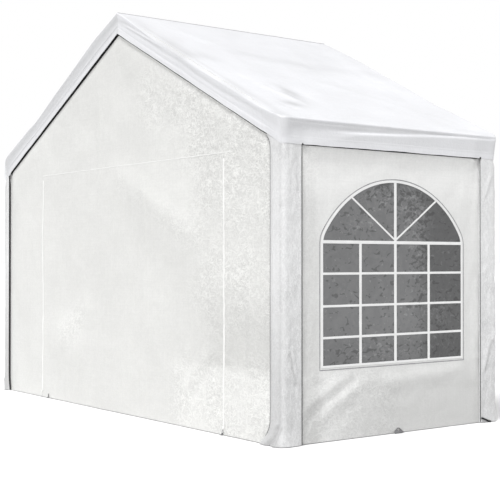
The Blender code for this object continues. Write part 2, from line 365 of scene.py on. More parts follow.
def grid_faces(wide, high, keep=lambda i, j: True):
    """Faces of a grid of wide by high points, for the cells that keep allows."""
    cells = [(i, j) for i in range(wide - 1) for j in range(high - 1) if keep(i, j)]
    return [(i * high + j, (i + 1) * high + j, (i + 1) * high + j + 1, i * high + j + 1) for i, j in cells]


def numbered(rings, around, start=0):
    """The numbers of the points in rings of so many points each."""
    return [range(start + ring * around, start + (ring + 1) * around) for ring in range(rings)]


def ring_faces(rings):
    """Faces between closed rings of numbered points, each ring joined to the next."""
    return [(near[i], far[i], far[(i + 1) % len(far)], near[(i + 1) % len(near)])
            for near, far in zip(rings, rings[1:]) for i in range(len(near))]


def maths(tree, operation, *values):
    """One sum on values or sockets."""
    numbers = {f"n{i}": value for i, value in enumerate(values)}
    return add_node(tree, "Math", {"operation": operation}, **numbers).outputs[0]


def scaled(tree, colour, share):
    """A colour made paler or darker by a share."""
    return add_node(tree, "VectorMath", {"operation": "SCALE"}, n0=colour, Scale=share).outputs[0]


def waves(tree, place, direction, pitch):
    """Even bands across a direction, a pitch apart. The node makes 20 bands in a turn at a scale of 1."""
    scale = math.tau / (20 * pitch)
    return add_node(tree, "TexWave", {"bands_direction": direction}, n0=place, Scale=scale).outputs["Fac"]


def flat_pattern(tree):
    """Places on the flat cloth, in metres."""
    return add_node(tree, "UVMap", {"uv_map": "cloth"}).outputs["UV"]


def per_point(tree, label):
    """How creased or how pale the cloth is, as its points say."""
    return add_node(tree, "Attribute", {"attribute_name": label}).outputs["Fac"]


def streaks(tree, flat, u_rate, v_rate, detail, distortion):
    """Noise on the flat cloth with its own rate across and along it."""
    drawn = add_node(tree, "VectorMath", {"operation": "MULTIPLY"}, n0=flat, n1=(u_rate, v_rate, 1))
    return clouds(tree, drawn.outputs[0], 1.0, detail, Distortion=distortion)


def crest(tree, share, width):
    """1 where a noise is at its middle value and 0 at a width away from it, which draws winding crests."""
    off = maths(tree, "ABSOLUTE", maths(tree, "SUBTRACT", share, 0.5))
    soft = {"interpolation_type": "SMOOTHSTEP"}
    return add_node(tree, "MapRange", soft, n0=off, n2=width, n3=1.0, n4=0.0).outputs[0]


def sheeting(name, dark, light, roughness, mottle, rates):
    """Coated woven polyethylene: tapes under a soft gloss, milky clouds, and creases at rates across and up,
    with painted highlights and painted shade along the creases.
    """
    made, tree, place = new_material(name)
    flat = flat_pattern(tree)
    creased = per_point(tree, "creased")
    cloud = clouds(tree, place, 2.4, 6.0, Roughness=0.62)
    large = crest(tree, streaks(tree, flat, *rates, 3.0, 1.1), 0.085)
    small = crest(tree, streaks(tree, flat, 2.6 * rates[0], 2.6 * rates[1], 2.0, 0.7), 0.110)
    wrinkle = maths(tree, "MULTIPLY_ADD", small, 0.5, maths(tree, "MULTIPLY", large, 0.5))
    share = maths(tree, "ADD", per_point(tree, "pale"), remapped(tree, cloud, 0.3, 0.7, -0.10, 0.10))
    ground = two_tones(tree, share, 0.0, 1.0, dark, light)
    tapes = maths(tree, "ADD", streaks(tree, flat, 70, 3, 2.0, 0.0), streaks(tree, flat, 3, 105, 2.0, 0.0))
    lined = scaled(tree, ground, remapped(tree, tapes, 0.7, 1.3, 0.975, 1.02))
    # Painted highlights on the crests of the creases and painted shade beside them, as strong as mottle.
    crease_light_and_shade = remapped(tree, wrinkle, 0.1, 0.8, -0.8 * mottle, 1.3 * mottle)
    colour = scaled(tree, lined, maths(tree, "MULTIPLY_ADD", crease_light_and_shade, creased, 1.0))
    gloss = remapped(tree, cloud, 0.3, 0.7, roughness - 0.06, roughness + 0.08)
    creasing = bumped(tree, maths(tree, "MULTIPLY", wrinkle, creased), 1.0, 0.0016)
    weave = maths(tree, "MULTIPLY", *[waves(tree, flat, direction, 0.0032) for direction in "XY"])
    surface = bumped(tree, weave, 0.35, 0.0005, Normal=creasing)
    return finish(made, Base_Color=colour, Roughness=gloss, Normal=surface)


roof_cloth = sheeting("roof_sheeting_cool_white", (0.500, 0.503, 0.515), (0.685, 0.689, 0.711), 0.42, 0.03,
                      (14, 30))


def grid_places(half, step):
    """Places across the cover, closer together where it folds over an edge."""
    flat = half - EDGE_FOLD
    inner = np.linspace(-flat, flat, 2 * math.ceil(flat / step) + 1)
    curl = flat + EDGE_FOLD * np.sin(np.radians([30, 60, 90]))
    return np.concatenate([-curl[::-1], inner, curl])


def roof_middle(x):
    """Height of the middle of the cloth over x, without its sag."""
    return RIDGE_TOP - CLOTH_MIDDLE - ROOF_SLOPE * np.sqrt(x * x + 0.006**2)


def fold_drop(place, half):
    """How far the cloth has turned down at a place near an edge."""
    past = np.clip(np.abs(place) - (half - EDGE_FOLD), 0, EDGE_FOLD)
    return EDGE_FOLD - np.sqrt(EDGE_FOLD**2 - past**2)


def roof_relief(x, y):
    """Sag and folds of the cover over its flat slopes."""
    across = np.abs(x)
    free = smooth(np.abs(y), 0.92, 0.74) * smooth(across, 0.035, 0.22) * smooth(across, 1.925, 1.74)
    sag = -0.024 * np.sin(math.pi * np.clip((across - 0.03) / 1.89, 0, 1)) * (1 - (y / 0.95) ** 2)
    packed = -0.008 * np.exp(-np.abs(across - 0.82) / 0.11) * smooth(np.where(x > 0, y, 1), -0.75, -0.1)
    packed -= 0.004 * np.exp(-np.abs(across - 0.36) / 0.07) * smooth(y, -0.9, 0.2)
    packed -= 0.003 * np.exp(-np.abs(y - 0.31) / 0.05) + 0.003 * np.exp(-np.abs(y + 0.37) / 0.06)
    dents = folds(x, y, (-0.016, (1.36, -0.60), (1.60, -0.48), 0.034),
                  (-0.013, (1.73, -0.80), (1.84, -0.72), 0.028), (0.010, (1.40, -0.68), (1.70, -0.56), 0.040))
    pulls = folds(x, y, (0.006, (1.9, 0.88), (1.1, 0.1), 0.06), (0.006, (-1.9, -0.88), (-1.2, -0.1), 0.06),
                  (0.006, (-1.9, 0.88), (-1.0, 0.2), 0.06), (0.005, (0.1, -0.9), (0.7, -0.15), 0.06))
    soft = 0.0045 * ripples(x, y, 0.65, 3.1) + 0.0022 * ripples(x, y, 0.2, 8.4)
    taut = 0.0012 * np.abs(ripples(x, y, 0.16, 5.7))
    kick = 0.007 * smooth(x, 1.90, ROOF_EDGE_X)
    return free * (sag + packed + dents + pulls + soft) + taut + kick


def rake_wave(x, y):
    """How the overhanging gable edges of the cover rise and droop past the end rafters."""
    places = [-2.01, -1.90, -1.775, -1.57, -1.37, -0.89, -0.38, 0, 0.6, 1.1, 1.68, 2.01]
    heights = [0.004, 0.018, 0.014, 0.006, -0.012, 0.007, 0.022, 0.0, -0.028, -0.026, -0.021, -0.003]
    wave = through(np.where(y < 0, x, -x), places, heights) * np.where(y < 0, 1, 0.5)
    reach = np.abs(y)
    return wave * np.where(wave < 0, smooth(reach, 0.974, ROOF_EDGE_Y), smooth(reach, 0.82, ROOF_EDGE_Y))


def eave_bag(x, y):
    """How far the slack cover stands out past an eave: most at the front left corner."""
    left = 0.010 + 0.038 * smooth(y, -0.45, -0.98) + 0.010 * smooth(y, 0.5, 1.0)
    right = 0.007 + 0.004 * smooth(y, -0.6, -1.0)
    return np.where(x < 0, left, right) * smooth(np.abs(x), 1.90, ROOF_EDGE_X)


def ridge_overhang(x, y):
    """How far the rear end of the cover stands out past the rear rafters, most at the ridge."""
    return 0.062 * (1 - np.abs(x) / ROOF_EDGE_X) * smooth(y, 0.90, ROOF_EDGE_Y)


def arm_edge(h):
    """Where the sleeve's edge is on a gable, at places h to the right of its middle as seen from outside."""
    return np.where(h > 0, SLEEVE_ARMS["front_right"], SLEEVE_ARMS["front_left"])


def over_sleeve(h):
    """0 on the open gable and 1 over a sleeve."""
    return smooth(np.abs(h), arm_edge(h) - 0.085, arm_edge(h) - 0.005)


def round_corners(points, share):
    """Rounds the corners of one row of the cover in plan, and fits it to the sleeves towards the hem."""
    towards = smooth(share, 0.1, 0.8)
    radius = 0.055 - 0.005 * towards
    centre = np.array([ROOF_EDGE_X, ROOF_EDGE_Y]) - towards * np.array(SLEEVE_INSET) - radius
    for signs in ((-1, -1), (-1, 1), (1, -1), (1, 1)):
        past = points[:, :2] * signs - centre
        corner = (past > 0).all(axis=1)
        reach = past[corner].max(axis=0)
        square = past[corner] / reach
        drawn_in = square.max(axis=1) / np.hypot(*square.T)
        points[corner, :2] = signs * (centre + reach * square * drawn_in[:, None])
    return points


# The top is a grid of points over both slopes, and the valance hangs from its edge in rows of points down to
# the hem.
columns = grid_places(ROOF_EDGE_X, ROOF_STEP)
rows = grid_places(ROOF_EDGE_Y, ROOF_STEP)
x, y = (part.ravel() for part in np.meshgrid(columns, rows, indexing="ij"))
z = roof_middle(x) - fold_drop(x, ROOF_EDGE_X) - fold_drop(y, ROOF_EDGE_Y)
z = z + roof_relief(x, y) + rake_wave(x, y) - 0.35 * np.maximum(eave_bag(x, y) - 0.012, 0)
top = np.stack([x + np.sign(x) * eave_bag(x, y), y + ridge_overhang(x, y), z], 1)
top_flat = np.stack([x / math.cos(PITCH), y], 1)
last_column = len(columns) - 1
last_row = len(rows) - 1
edge = [(i, 0) for i in range(last_column)] + [(last_column, j) for j in range(last_row)]
edge += [(i, last_row) for i in range(last_column, 0, -1)] + [(0, j) for j in range(last_row, 0, -1)]
edge_index = np.array([i * len(rows) + j for i, j in edge])
edge_x, edge_y = x[edge_index], y[edge_index]
on_eave = np.isclose(np.abs(edge_x), ROOF_EDGE_X)
on_gable = np.isclose(np.abs(edge_y), ROOF_EDGE_Y)
outward = np.stack([np.sign(edge_x) * on_eave, np.sign(edge_y) * on_gable], 1)
hem_z = np.where(on_gable, roof_middle(edge_x) + CLOTH_MIDDLE - GABLE_HEM_DROP, EAVE_HEM)
hem_z = np.where(on_eave & on_gable, CORNER_HEM, hem_z)
run = np.where(on_gable, edge_x + edge_y, edge_y + 2 * edge_x)
hem_z = hem_z + 0.0030 * ripples(run, hem_z * 0, 0.35, 2.2)
start = top[edge_index]
bag = eave_bag(edge_x, edge_y)
by_post = smooth(np.abs(edge_y), 0.74, 0.84) * (edge_x > 0)
hem_out = np.where(on_eave, bag * 0.85 * (1 - by_post), 0) + 0.25 * ridge_overhang(edge_x, edge_y) * on_gable
by_sleeve = over_sleeve(-np.sign(edge_y) * edge_x)
inset_x = SLEEVE_INSET[0] * smooth(np.abs(edge_y), 0.75, 0.83) * smooth(np.abs(edge_x), 1.93, ROOF_EDGE_X)
inset_y = GABLE_INSET + (SLEEVE_INSET[1] - GABLE_INSET) * by_sleeve
inset_y = inset_y * smooth(np.abs(edge_y), 0.94, ROOF_EDGE_Y)
inset = np.stack([np.sign(edge_x) * inset_x, np.sign(edge_y) * inset_y], 1)
hem_xy = np.stack([edge_x, edge_y], 1) + outward * hem_out[:, None] - inset
tuck_depth = 0.047 * smooth(edge_y, 0.95, -0.62) + 0.004
tuck_end = 0.024 + 0.070 * smooth(edge_y, -0.30, -0.75)
near_corner = smooth(np.abs(edge_y), 0.90, 0.98) * on_eave
near_corner = near_corner + smooth(np.abs(edge_x), 1.89, 1.97) * on_gable * ~on_eave
points = [round_corners(top, 0.0)]
flats = [top_flat]
for share in VALANCE_ROWS:
    down = start[:, 2] + (hem_z - start[:, 2]) * share
    fallen = np.maximum(EAVE_EDGE - down, 0)
    tuck = -0.0110 * (tuck_depth / 0.051) * smooth(fallen, 0.002, tuck_depth)
    tuck = tuck * smooth(fallen, tuck_depth + tuck_end, tuck_depth) * smooth(np.abs(edge_y), 1.00, 0.90)
    tuck = tuck - 0.0040 * hump(fallen - 0.012, 0.008)
    waist = -0.0024 * smooth(share, 0.02, 0.45) * smooth(share, 1.25, 0.45)
    waist = waist * (1 + 0.5 * ripples(run, down * 0, 0.5, 4.4))
    drift = 2.6 * share + 0.7 * ripples(run, down * 0, 0.9, 7.7)
    waist = waist + 0.0007 * np.sin(math.tau * drift) * (1 - by_sleeve)
    rising = share - 0.42 + 0.39 * np.clip((edge_x - 0.05) / 0.57, 0, 1)
    turned = smooth(edge_x, 0.02, 0.16) * smooth(edge_x, 0.74, 0.56) * (edge_y < 0)
    waist = waist + turned * (0.0030 * hump(rising, 0.055) - 0.0035 * hump(rising + 0.11, 0.08))
    profile = np.where(on_eave, tuck, waist)
    profile = profile + (0.0012 + 0.0008 * on_eave) * ripples(run, down * 0.35, 0.11, 6.6)
    profile = profile + 0.0035 * hump(share - 0.62, 0.05) * on_gable * (edge_y < 0) * (edge_x < 0)
    profile = (profile * (1 - 0.8 * by_sleeve * on_gable) + 0.0011 * (share > HEM_START)) * (1 - near_corner)
    base = start[:, :2] + (hem_xy - start[:, :2]) * share
    points.append(round_corners(np.column_stack([base + outward * profile[:, None], down]), share))
    depth = (start[:, 2] - down)[:, None]
    flats.append(top_flat[edge_index] + outward * depth)
faces = grid_faces(len(columns), len(rows))
faces += ring_faces([edge_index.tolist(), *numbered(len(VALANCE_ROWS), len(edge), len(top))])
points = np.concatenate(points)
flats = np.concatenate(flats)

# How creased and how pale the cover is at each point. Much of the paleness is painted light and shade:
# painted shade along the front rake, along a packing fold and in two dents near the front right eave, a
# painted highlight low on the right slope by the front rake, painted shade on the upper band of the valances,
# and a painted highlight along a crease under the right eave.
u, v, level = points.T
hanging = np.arange(len(points)) >= len(top)
by_corner = smooth(np.abs(u), 1.90, 1.96) * smooth(np.abs(v), 0.91, 0.96)
roof_creased = np.where(hanging, 0.35, 0.12) * (1 - by_corner)
# Painted light and shade on the slopes: a painted highlight low on the right slope by the front rake, and
# painted shade along a packing fold, in two dents near the front right eave and along the front rake.
slope_pale = 0.72 + 0.04 * smooth(u, 0.84, 0.97) * smooth(v, 1.3, 0.6)
slope_pale -= 0.26 * fold_line(u, v, (0.62, -0.4), (0.78, 1.0), 0.08)
slope_pale += patches(u, v, (0.24, (1.20, -0.74), 0.26, 0.20), (0.06, (1.05, 1.0), 0.32, 0.40),
                      (-0.95, (1.48, -0.50), 0.14, 0.065), (-0.85, (1.72, -0.68), 0.05, 0.09),
                      (-0.22, (0.52, 0.60), 0.16, 0.35), (-0.30, (0.88, -0.78), 0.08, 0.12))
by_rake = smooth(-v, 0.84, 0.93) * smooth(u, 0.02, 0.10) * smooth(u, 1.02, 0.88)
slope_pale -= (0.12 + 0.28 * smooth(u, 0.45, 0.75)) * by_rake
slope_pale -= 0.36 * smooth(-v, 0.925, 0.98) * smooth(u, 0.04, 0.40) * smooth(u, 1.85, 1.50)
slope_pale -= 0.25 * smooth(-v, 0.88, 0.95) * smooth(u, 1.25, 1.45)
by_eave = smooth(np.abs(u) - np.abs(v) - ROOF_EDGE_X + ROOF_EDGE_Y, -0.045, 0.045)
# On the gable valances the band under the cover's edge is painted shade; the hem band of the front left and
# rear right valances is paler, partly for its double layer and partly as painted light. The upper part of
# each eave valance is painted shade.
gable_pale = np.where(u * v < 0, 0.66, 0.22) - 0.21 * smooth(roof_middle(u) - level, 0.09, 0.06)
gable_pale += 0.40 * (u * v > 0) * smooth(roof_middle(u) - level, 0.118, 0.132)
fascia_pale = gable_pale + (0.31 + 0.27 * smooth(level, 1.945, 1.930) - gable_pale) * by_eave
# A painted highlight along the crease under the right eave.
crease = EAVE_EDGE - level - 0.014 - 0.047 * smooth(v, 0.95, -0.62)
fascia_pale += 0.75 * by_eave * (u > 0) * smooth(v, -0.75, -0.35) * hump(crease, 0.008)
roof_creases_light_and_shade = (roof_creased, np.where(hanging, fascia_pale, slope_pale))
roof_cover = cloth_piece("roof_cover", points, flats, roof_creases_light_and_shade, faces, roof_cloth)
slopes_and_valances = [f"{part}_{side}" for part in ("roof_slope", "eave_valance") for side in SIDES]
gable_valances = [f"gable_valance_{end}_{side}" for end in ENDS for side in SIDES]
fixed(roof_cover, "roof_sheeting", *slopes_and_valances, *gable_valances)
SLOPE_LENGTH = 2.010 / math.cos(PITCH)
COVER_LENGTH = 2.036
EAVE_DROP = 0.160
GABLE_DROP = 0.165
cut = (2 * (SLOPE_LENGTH + EAVE_DROP), COVER_LENGTH + 2 * GABLE_DROP)

# Each gable wall is one sheet with a door opening, sewn to the edge tape. The door fills the opening between
# two zips and under a seam, and rolls up. Both are the same coated sheeting as the roof in a warmer white,
# and share their folds so that the closed door lies flat in its wall.
WALL_MIDDLE_Y = 0.9805
WALL_EDGE_X = 1.972
WALL_FOOT = 0.002
WALL_SIDE_TOP = 2.0753
POINT_RISE = 0.986
SEAM_HEIGHT = 1.890
LEFT_ZIP = -1.302
RIGHT_ZIP = 1.363
ZIP_TOP = 1.850
GABLE_STEP = 0.018
GABLE_TOP_GAP = 0.006
HELD_OUT = 0.0155
DOOR_GAP = 0.0004

wall_cloth = sheeting("wall_sheeting_warm_white", (0.515, 0.515, 0.503), (0.685, 0.685, 0.670), 0.40, 0.125,
                      (16, 20))


def gable_creased(h, z):
    """How creased a gable wall is: most in its right third, under the right rake and low down."""
    rough = smooth(h, 0.65, 1.30) * smooth(z, 0.4, 0.9) + smooth(z, 0.66, 0.35) * smooth(h, 0.5, 1.0)
    rough += folds(h, z, (0.9, (0.25, 2.45), (1.6, 1.85), 0.26), (0.8, (-1.10, 0.50), (-0.55, 0.76), 0.16),
                   (0.5, (-0.1, 1.80), (0.9, 1.36), 0.12))
    return np.clip(rough * (0.75 + 0.6 * ripples(h, z, 0.30, 6.2)), 0.20, 1)


def below_hem(h, z):
    """How far a place on a gable is below the hem of its valance."""
    return RIDGE_TOP - GABLE_HEM_DROP - ROOF_SLOPE * np.abs(h) - z


def gable_relief(h, z, seed):
    """Folds of a gable wall over its plane, at places h to the right of the middle as seen from outside."""
    under_hem = below_hem(h, z)
    free = smooth(np.abs(h), 1.93, 1.80) * smooth(z, -0.08, 0.10) * smooth(under_hem, 0.0, 0.12)
    soft = 0.0085 * ripples(h, z, 0.95, seed) + 0.0045 * ripples(h, z, 0.30, seed + 3)
    fine = 0.0042 * creases(h, z * 1.5, 0.085, seed + 6) + 0.0016 * ripples(h, z * 1.6, 0.05, seed + 9)
    crumple = gable_creased(h, z) * fine
    bands = folds(h, z, (0.010, (-0.10, 1.90), (1.05, 1.33), 0.10),
                  (0.009, (0.86, 0.25), (1.16, 0.52), 0.045), (-0.009, (0.95, 0.20), (1.26, 0.50), 0.040),
                  (0.008, (1.66, 0.42), (1.66, 0.95), 0.035), (0.009, (-1.10, 0.42), (-0.52, 0.80), 0.10),
                  (0.0035, (-0.318, 1.6), (-0.318, 2.5), 0.020), (0.0030, (0.34, 0.9), (0.34, 1.8), 0.022))
    held_out = HELD_OUT * smooth(under_hem, 0.42, 0.02) * (1 - over_sleeve(h))
    return free * (soft + crumple + bands) + held_out


def gable_crease_tone_and_light(h, z):
    """How creased and how pale a gable wall is: paler at its left edge, its foot and in some patches, with
    painted light under the valance hem, a painted highlight along one fold and painted shade along another.
    """
    pale = 0.45 + 0.14 * smooth(h, -0.8, -1.5)
    # Painted light just under the valance hem, which lightens the shadow that the hem casts.
    pale += 0.30 * smooth(below_hem(h, z), 0.085, 0.0) + 0.10 * smooth(z, 1.3, 1.6) * smooth(h, 0.2, 0.6)
    pale += 0.26 * smooth(h, 0.62, 0.98) * smooth(z, 0.50, 0.40)
    pale -= 0.42 * smooth(h, 0.90, 1.40) * smooth(z, 0.40, 0.50) * smooth(z, 1.05, 0.70)
    pale += patches(h, z, (0.30, (-0.82, 0.64), 0.26, 0.17), (0.04, (1.60, 1.10), 0.25, 0.40),
                    (-0.08, (1.30, 1.80), 0.42, 0.26))
    # A painted highlight along one fold and painted shade along another.
    pale += folds(h, z, (0.14, (-0.16, 1.91), (0.95, 1.38), 0.09), (-0.12, (0.1, 1.55), (1.3, 0.85), 0.16))
    return gable_creased(h, z), pale


def gable_points(h, z, relief, y_sign):
    """Places in the tent of points on a gable wall's cloth."""
    return np.stack([-y_sign * h, y_sign * (WALL_MIDDLE_Y + relief), z], 1)


def steps_between(stops, step):
    """Places through all the stops, at most a step apart."""
    places = [stops[0]]
    for low, high in zip(stops, stops[1:]):
        places += np.linspace(low, high, math.ceil((high - low) / step) + 1)[1:].tolist()
    return np.array(places)


def used_only(points, flat, crease_and_tone, faces):
    """The same faces without the points that none of them uses."""
    used = sorted({corner for face in faces for corner in face})
    renumbered = {old: new for new, old in enumerate(used)}
    faces = [tuple(renumbered[corner] for corner in face) for face in faces]
    return points[used], flat[used], [share[used] for share in crease_and_tone], faces


gable_h = steps_between([-WALL_EDGE_X, LEFT_ZIP, 0, RIGHT_ZIP, WALL_EDGE_X], GABLE_STEP)
low_z = steps_between([WALL_FOOT, SEAM_HEIGHT], GABLE_STEP)
high_share = np.linspace(0, 1, 62)[1:]
left_column = int(np.argmin(np.abs(gable_h - LEFT_ZIP)))
right_column = int(np.argmin(np.abs(gable_h - RIGHT_ZIP)))
seam_row = len(low_z) - 1
tall = seam_row + 1 + len(high_share)
gable_seeds = {"front": 11.3, "rear": 47.9}


def in_door(i, j):
    """Whether a cell of a gable's grid is in its door."""
    return left_column <= i < right_column and j < seam_row


def out_from_gable(end, h, z, out):
    """Places a little way out from the outer face of a gable wall's cloth."""
    return gable_points(h, z, gable_relief(h, z, gable_seeds[end]) + CLOTH / 2 + out, ENDS[end])


for end, y_sign in ENDS.items():
    h, level = (part.ravel() for part in np.meshgrid(gable_h, np.arange(tall), indexing="ij"))
    under = roof_middle(h) - GABLE_TOP_GAP
    share = np.concatenate([[0.0] * (seam_row + 1), high_share])[level]
    z = np.concatenate([low_z, [SEAM_HEIGHT] * len(high_share)])[level] + share * (under - SEAM_HEIGHT)
    relief = gable_relief(h, z, gable_seeds[end])
    crease_and_tone = gable_crease_tone_and_light(h, z)
    flat = np.stack([h, z], 1)
    around = grid_faces(len(gable_h), tall, lambda i, j: not in_door(i, j))
    cloth = used_only(gable_points(h, z, relief, y_sign), flat, crease_and_tone, around)
    wall = cloth_piece(f"gable_sheet_{end}", *cloth, wall_cloth)
    fixed(wall, "wall_sheeting", f"gable_wall_{end}_left", f"gable_wall_{end}_right", f"gable_top_{end}")
    area = 2 * WALL_EDGE_X * (WALL_SIDE_TOP - WALL_FOOT + POINT_RISE / 2)
    area -= (RIGHT_ZIP - LEFT_ZIP) * (SEAM_HEIGHT - WALL_FOOT)

    inset = DOOR_GAP * ((h < RIGHT_ZIP - 1e-4) * 1.0 - (h > LEFT_ZIP + 1e-4) * 1.0) * (z < ZIP_TOP)
    door_h = h + np.where(np.isclose(h, LEFT_ZIP) | np.isclose(h, RIGHT_ZIP), inset, 0)
    door_z = z - DOOR_GAP * np.isclose(z, SEAM_HEIGHT)
    within = grid_faces(len(gable_h), tall, in_door)
    cloth = used_only(gable_points(door_h, door_z, relief, y_sign), flat, crease_and_tone, within)
    door = cloth_piece(f"door_sheet_{end}", *cloth, wall_cloth)
    fixed(door, "wall_sheeting", f"door_{end}")

# A coil zip closes each edge of a door: a white tape sewn to both panels, a row of moulded teeth and a white
# lacquered slider with a pull, left at the foot. A sewn tape covers the seam over the door and runs on past
# the right zip.
ZIP_FOOT = 0.022
ZIP_TAPE = 0.016
TAPE_OUT = 0.0005
TOOTH_OUT = 0.0016
TOOTH_PITCH = 0.006
ZIP_TAPE_THICK = 0.0006
TOOTH_SIZE = (0.0054, 0.0012, 0.0036)
SLIDER_SIZE = (0.013, 0.006, 0.017)
PULL_MIDDLE = -0.016
SEAM_TAPE = 0.0070
SEAM_TAPE_THICK = 0.0005
SEAM_END = 1.46
STRAP_SECTION = ((-0.5, 0.0), (0.5, 0.0), (0.5, 0.6), (0.40, 1.0), (-0.40, 1.0), (-0.5, 0.6))


def ribbed(material, direction, pitch, strength, depth):
    """Adds ribs a pitch apart across the flat pattern to a material."""
    tree = material.node_tree
    ribs = waves(tree, flat_pattern(tree), direction, pitch)
    return finish(material, Normal=bumped(tree, ribs, strength, depth))


zip_white = mottled("zip_white", 9.0, 4.0, (0.35, 0.65), (0.74, 0.74, 0.73), (0.80, 0.80, 0.79), 0.55)
ribbed(zip_white, "DIAGONAL", 0.0015, 0.4, 0.0004)
seam_white = mottled("seam_tape_white", 11.0, 4.0, (0.35, 0.65), (0.665, 0.665, 0.655), (0.715, 0.715, 0.705),
                     (0.35, 0.55))


def closed(piece, gentle):
    """Turns the faces of a closed piece outwards, and smooths its edges up to that many degrees."""
    bpy.ops.object.mode_set(mode="EDIT")
    bpy.ops.mesh.select_all(action="SELECT")
    bpy.ops.mesh.normals_make_consistent(inside=False)
    bpy.ops.object.mode_set(mode="OBJECT")
    bpy.ops.object.shade_smooth_by_angle(angle=math.radians(gentle))
    return piece


def run_along(line):
    """The run along a line of points, from its first point."""
    return np.concatenate([[0], np.cumsum(np.linalg.norm(np.diff(line, axis=0), axis=1))])


def strap(name, line, across, facing, width, thickness, material):
    """A flat strap that lies along a line, wide across it and thick towards facing, closed at both ends."""
    line = np.asarray(line, float)
    across = np.broadcast_to(np.asarray(across, float), line.shape)
    facing = np.broadcast_to(np.asarray(facing, float), line.shape)
    widths = np.broadcast_to(np.asarray(width, float), len(line))[:, None]
    section = [line + across * widths * a + facing * thickness * b for a, b in STRAP_SECTION]
    points = np.stack(section, 1).reshape(-1, 3)
    run = run_along(line)
    flat = np.stack([np.column_stack([widths[:, 0] * a, run]) for a, b in STRAP_SECTION], 1).reshape(-1, 2)
    count = len(STRAP_SECTION)
    faces = [tuple(range(count)), tuple(len(points) - count + corner for corner in reversed(range(count)))]
    faces += ring_faces(numbered(len(line), count))
    return closed(new_piece(name, points, faces, material, flat), 35)


def tooth():
    """One moulded tooth."""
    bpy.ops.object.select_all(action="DESELECT")
    bpy.ops.mesh.primitive_cube_add(size=1, scale=TOOTH_SIZE)
    return one_piece("tooth", [bpy.context.object], zip_white)


def ring(place, turn, radius, wire, steps):
    """A ring of round wire."""
    bpy.ops.mesh.primitive_torus_add(location=place, rotation=turn, major_radius=radius, minor_radius=wire,
                                     major_segments=steps, minor_segments=8)
    return bpy.context.object


def zip_slider():
    """A slider: a rounded body with a bridge over it, and an open flat pull that hangs from the bridge."""
    bpy.ops.object.select_all(action="DESELECT")
    bpy.ops.mesh.primitive_cube_add(size=1, location=(0, -0.0035, 0), scale=SLIDER_SIZE)
    body = rounded(0.0015)
    bridge = ring((0, -0.0075, 0.001), (0, math.pi / 2, 0), 0.0042, 0.0010, 20)
    pull = ring((0, -0.0105, PULL_MIDDLE), (math.pi / 2, 0, 0), 0.0065, 0.0013, 24)
    bpy.ops.object.transform_apply(location=True, rotation=True, scale=True)
    for vertex in pull.data.vertices:
        vertex.co.z = PULL_MIDDLE + (vertex.co.z - PULL_MIDDLE) * (2.1 if vertex.co.z < PULL_MIDDLE else 1.6)
        vertex.co.x *= 0.75
    return one_piece("slider", [body, bridge, pull], zip_white)


for end, y_sign in ENDS.items():
    facing = np.array([0, y_sign, 0])
    sideways = np.array([-y_sign, 0, 0])
    for side, h_zip in (("left", LEFT_ZIP), ("right", RIGHT_ZIP)):
        z = np.linspace(ZIP_FOOT, ZIP_TOP, 110)
        line = out_from_gable(end, np.full_like(z, h_zip), z, TAPE_OUT)
        tape = strap(f"zip_tape_{end}_{side}", line, sideways, facing, ZIP_TAPE, ZIP_TAPE_THICK, zip_white)
        z = np.arange(ZIP_FOOT + 0.01, ZIP_TOP - 0.004, TOOTH_PITCH)
        seats = out_from_gable(end, np.full_like(z, h_zip), z, TOOTH_OUT)
        moves = [Matrix.Translation(seat) for seat in seats]
        teeth = repeated(f"zip_teeth_{end}_{side}", tooth(), moves, zip_white)
        turn = Matrix.Rotation(0 if y_sign < 0 else math.pi, 4, "Z")
        on_teeth = Matrix.Translation(Vector(seats[3]) + Vector((0, y_sign * 0.0012, 0))) @ turn
        slider = repeated(f"zip_slider_{end}_{side}", zip_slider(), [on_teeth], zip_white)
        slider.data.shade_smooth()
        for piece in (tape, teeth, slider):
            fixed(piece, "wall_sheeting")
    h = np.linspace(LEFT_ZIP - 0.006, SEAM_END, 154)
    line = out_from_gable(end, h, np.full_like(h, SEAM_HEIGHT), TAPE_OUT)
    seam = strap(f"door_seam_{end}", line, (0, 0, 1), facing, SEAM_TAPE, SEAM_TAPE_THICK, seam_white)
    fixed(seam, "wall_sheeting")

# The two slopes of the cover are joined along the ridge by a rolled seam with stitches, coloured grey as
# painted shade along the ridge. It stands 3 mm proud of the cloth and ends just short of the cover's edge at
# both gables.
RIDGE_SEAM_WIDE = 0.0070
RIDGE_SEAM_THICK = 0.0030

ridge_seam_shade, tree, place = new_material("ridge_seam_painted_shade_grey")
twist = waves(tree, place, "Y", 0.006)
# The grey is painted shade along the ridge; the bands are the stitches.
stitches_and_shade = two_tones(tree, twist, 0.3, 0.7, (0.38, 0.38, 0.39), (0.62, 0.62, 0.63))
finish(ridge_seam_shade, Base_Color=stitches_and_shade, Roughness=0.6, Normal=bumped(tree, twist, 0.4, 0.0006))
along = np.linspace(-ROOF_EDGE_Y + 0.006, ROOF_EDGE_Y - 0.006, 160)
middle = np.zeros_like(along)
height = roof_middle(middle) + roof_relief(middle, along) + rake_wave(middle, along)
height = height - fold_drop(along, ROOF_EDGE_Y)
line = np.stack([middle, along + ridge_overhang(middle, along), height + CLOTH / 2], 1)
ridge_seam = strap("ridge_seam", line, (1, 0, 0), (0, 0, 1), RIDGE_SEAM_WIDE, RIDGE_SEAM_THICK, ridge_seam_shade)
fixed(ridge_seam, "roof_sheeting")

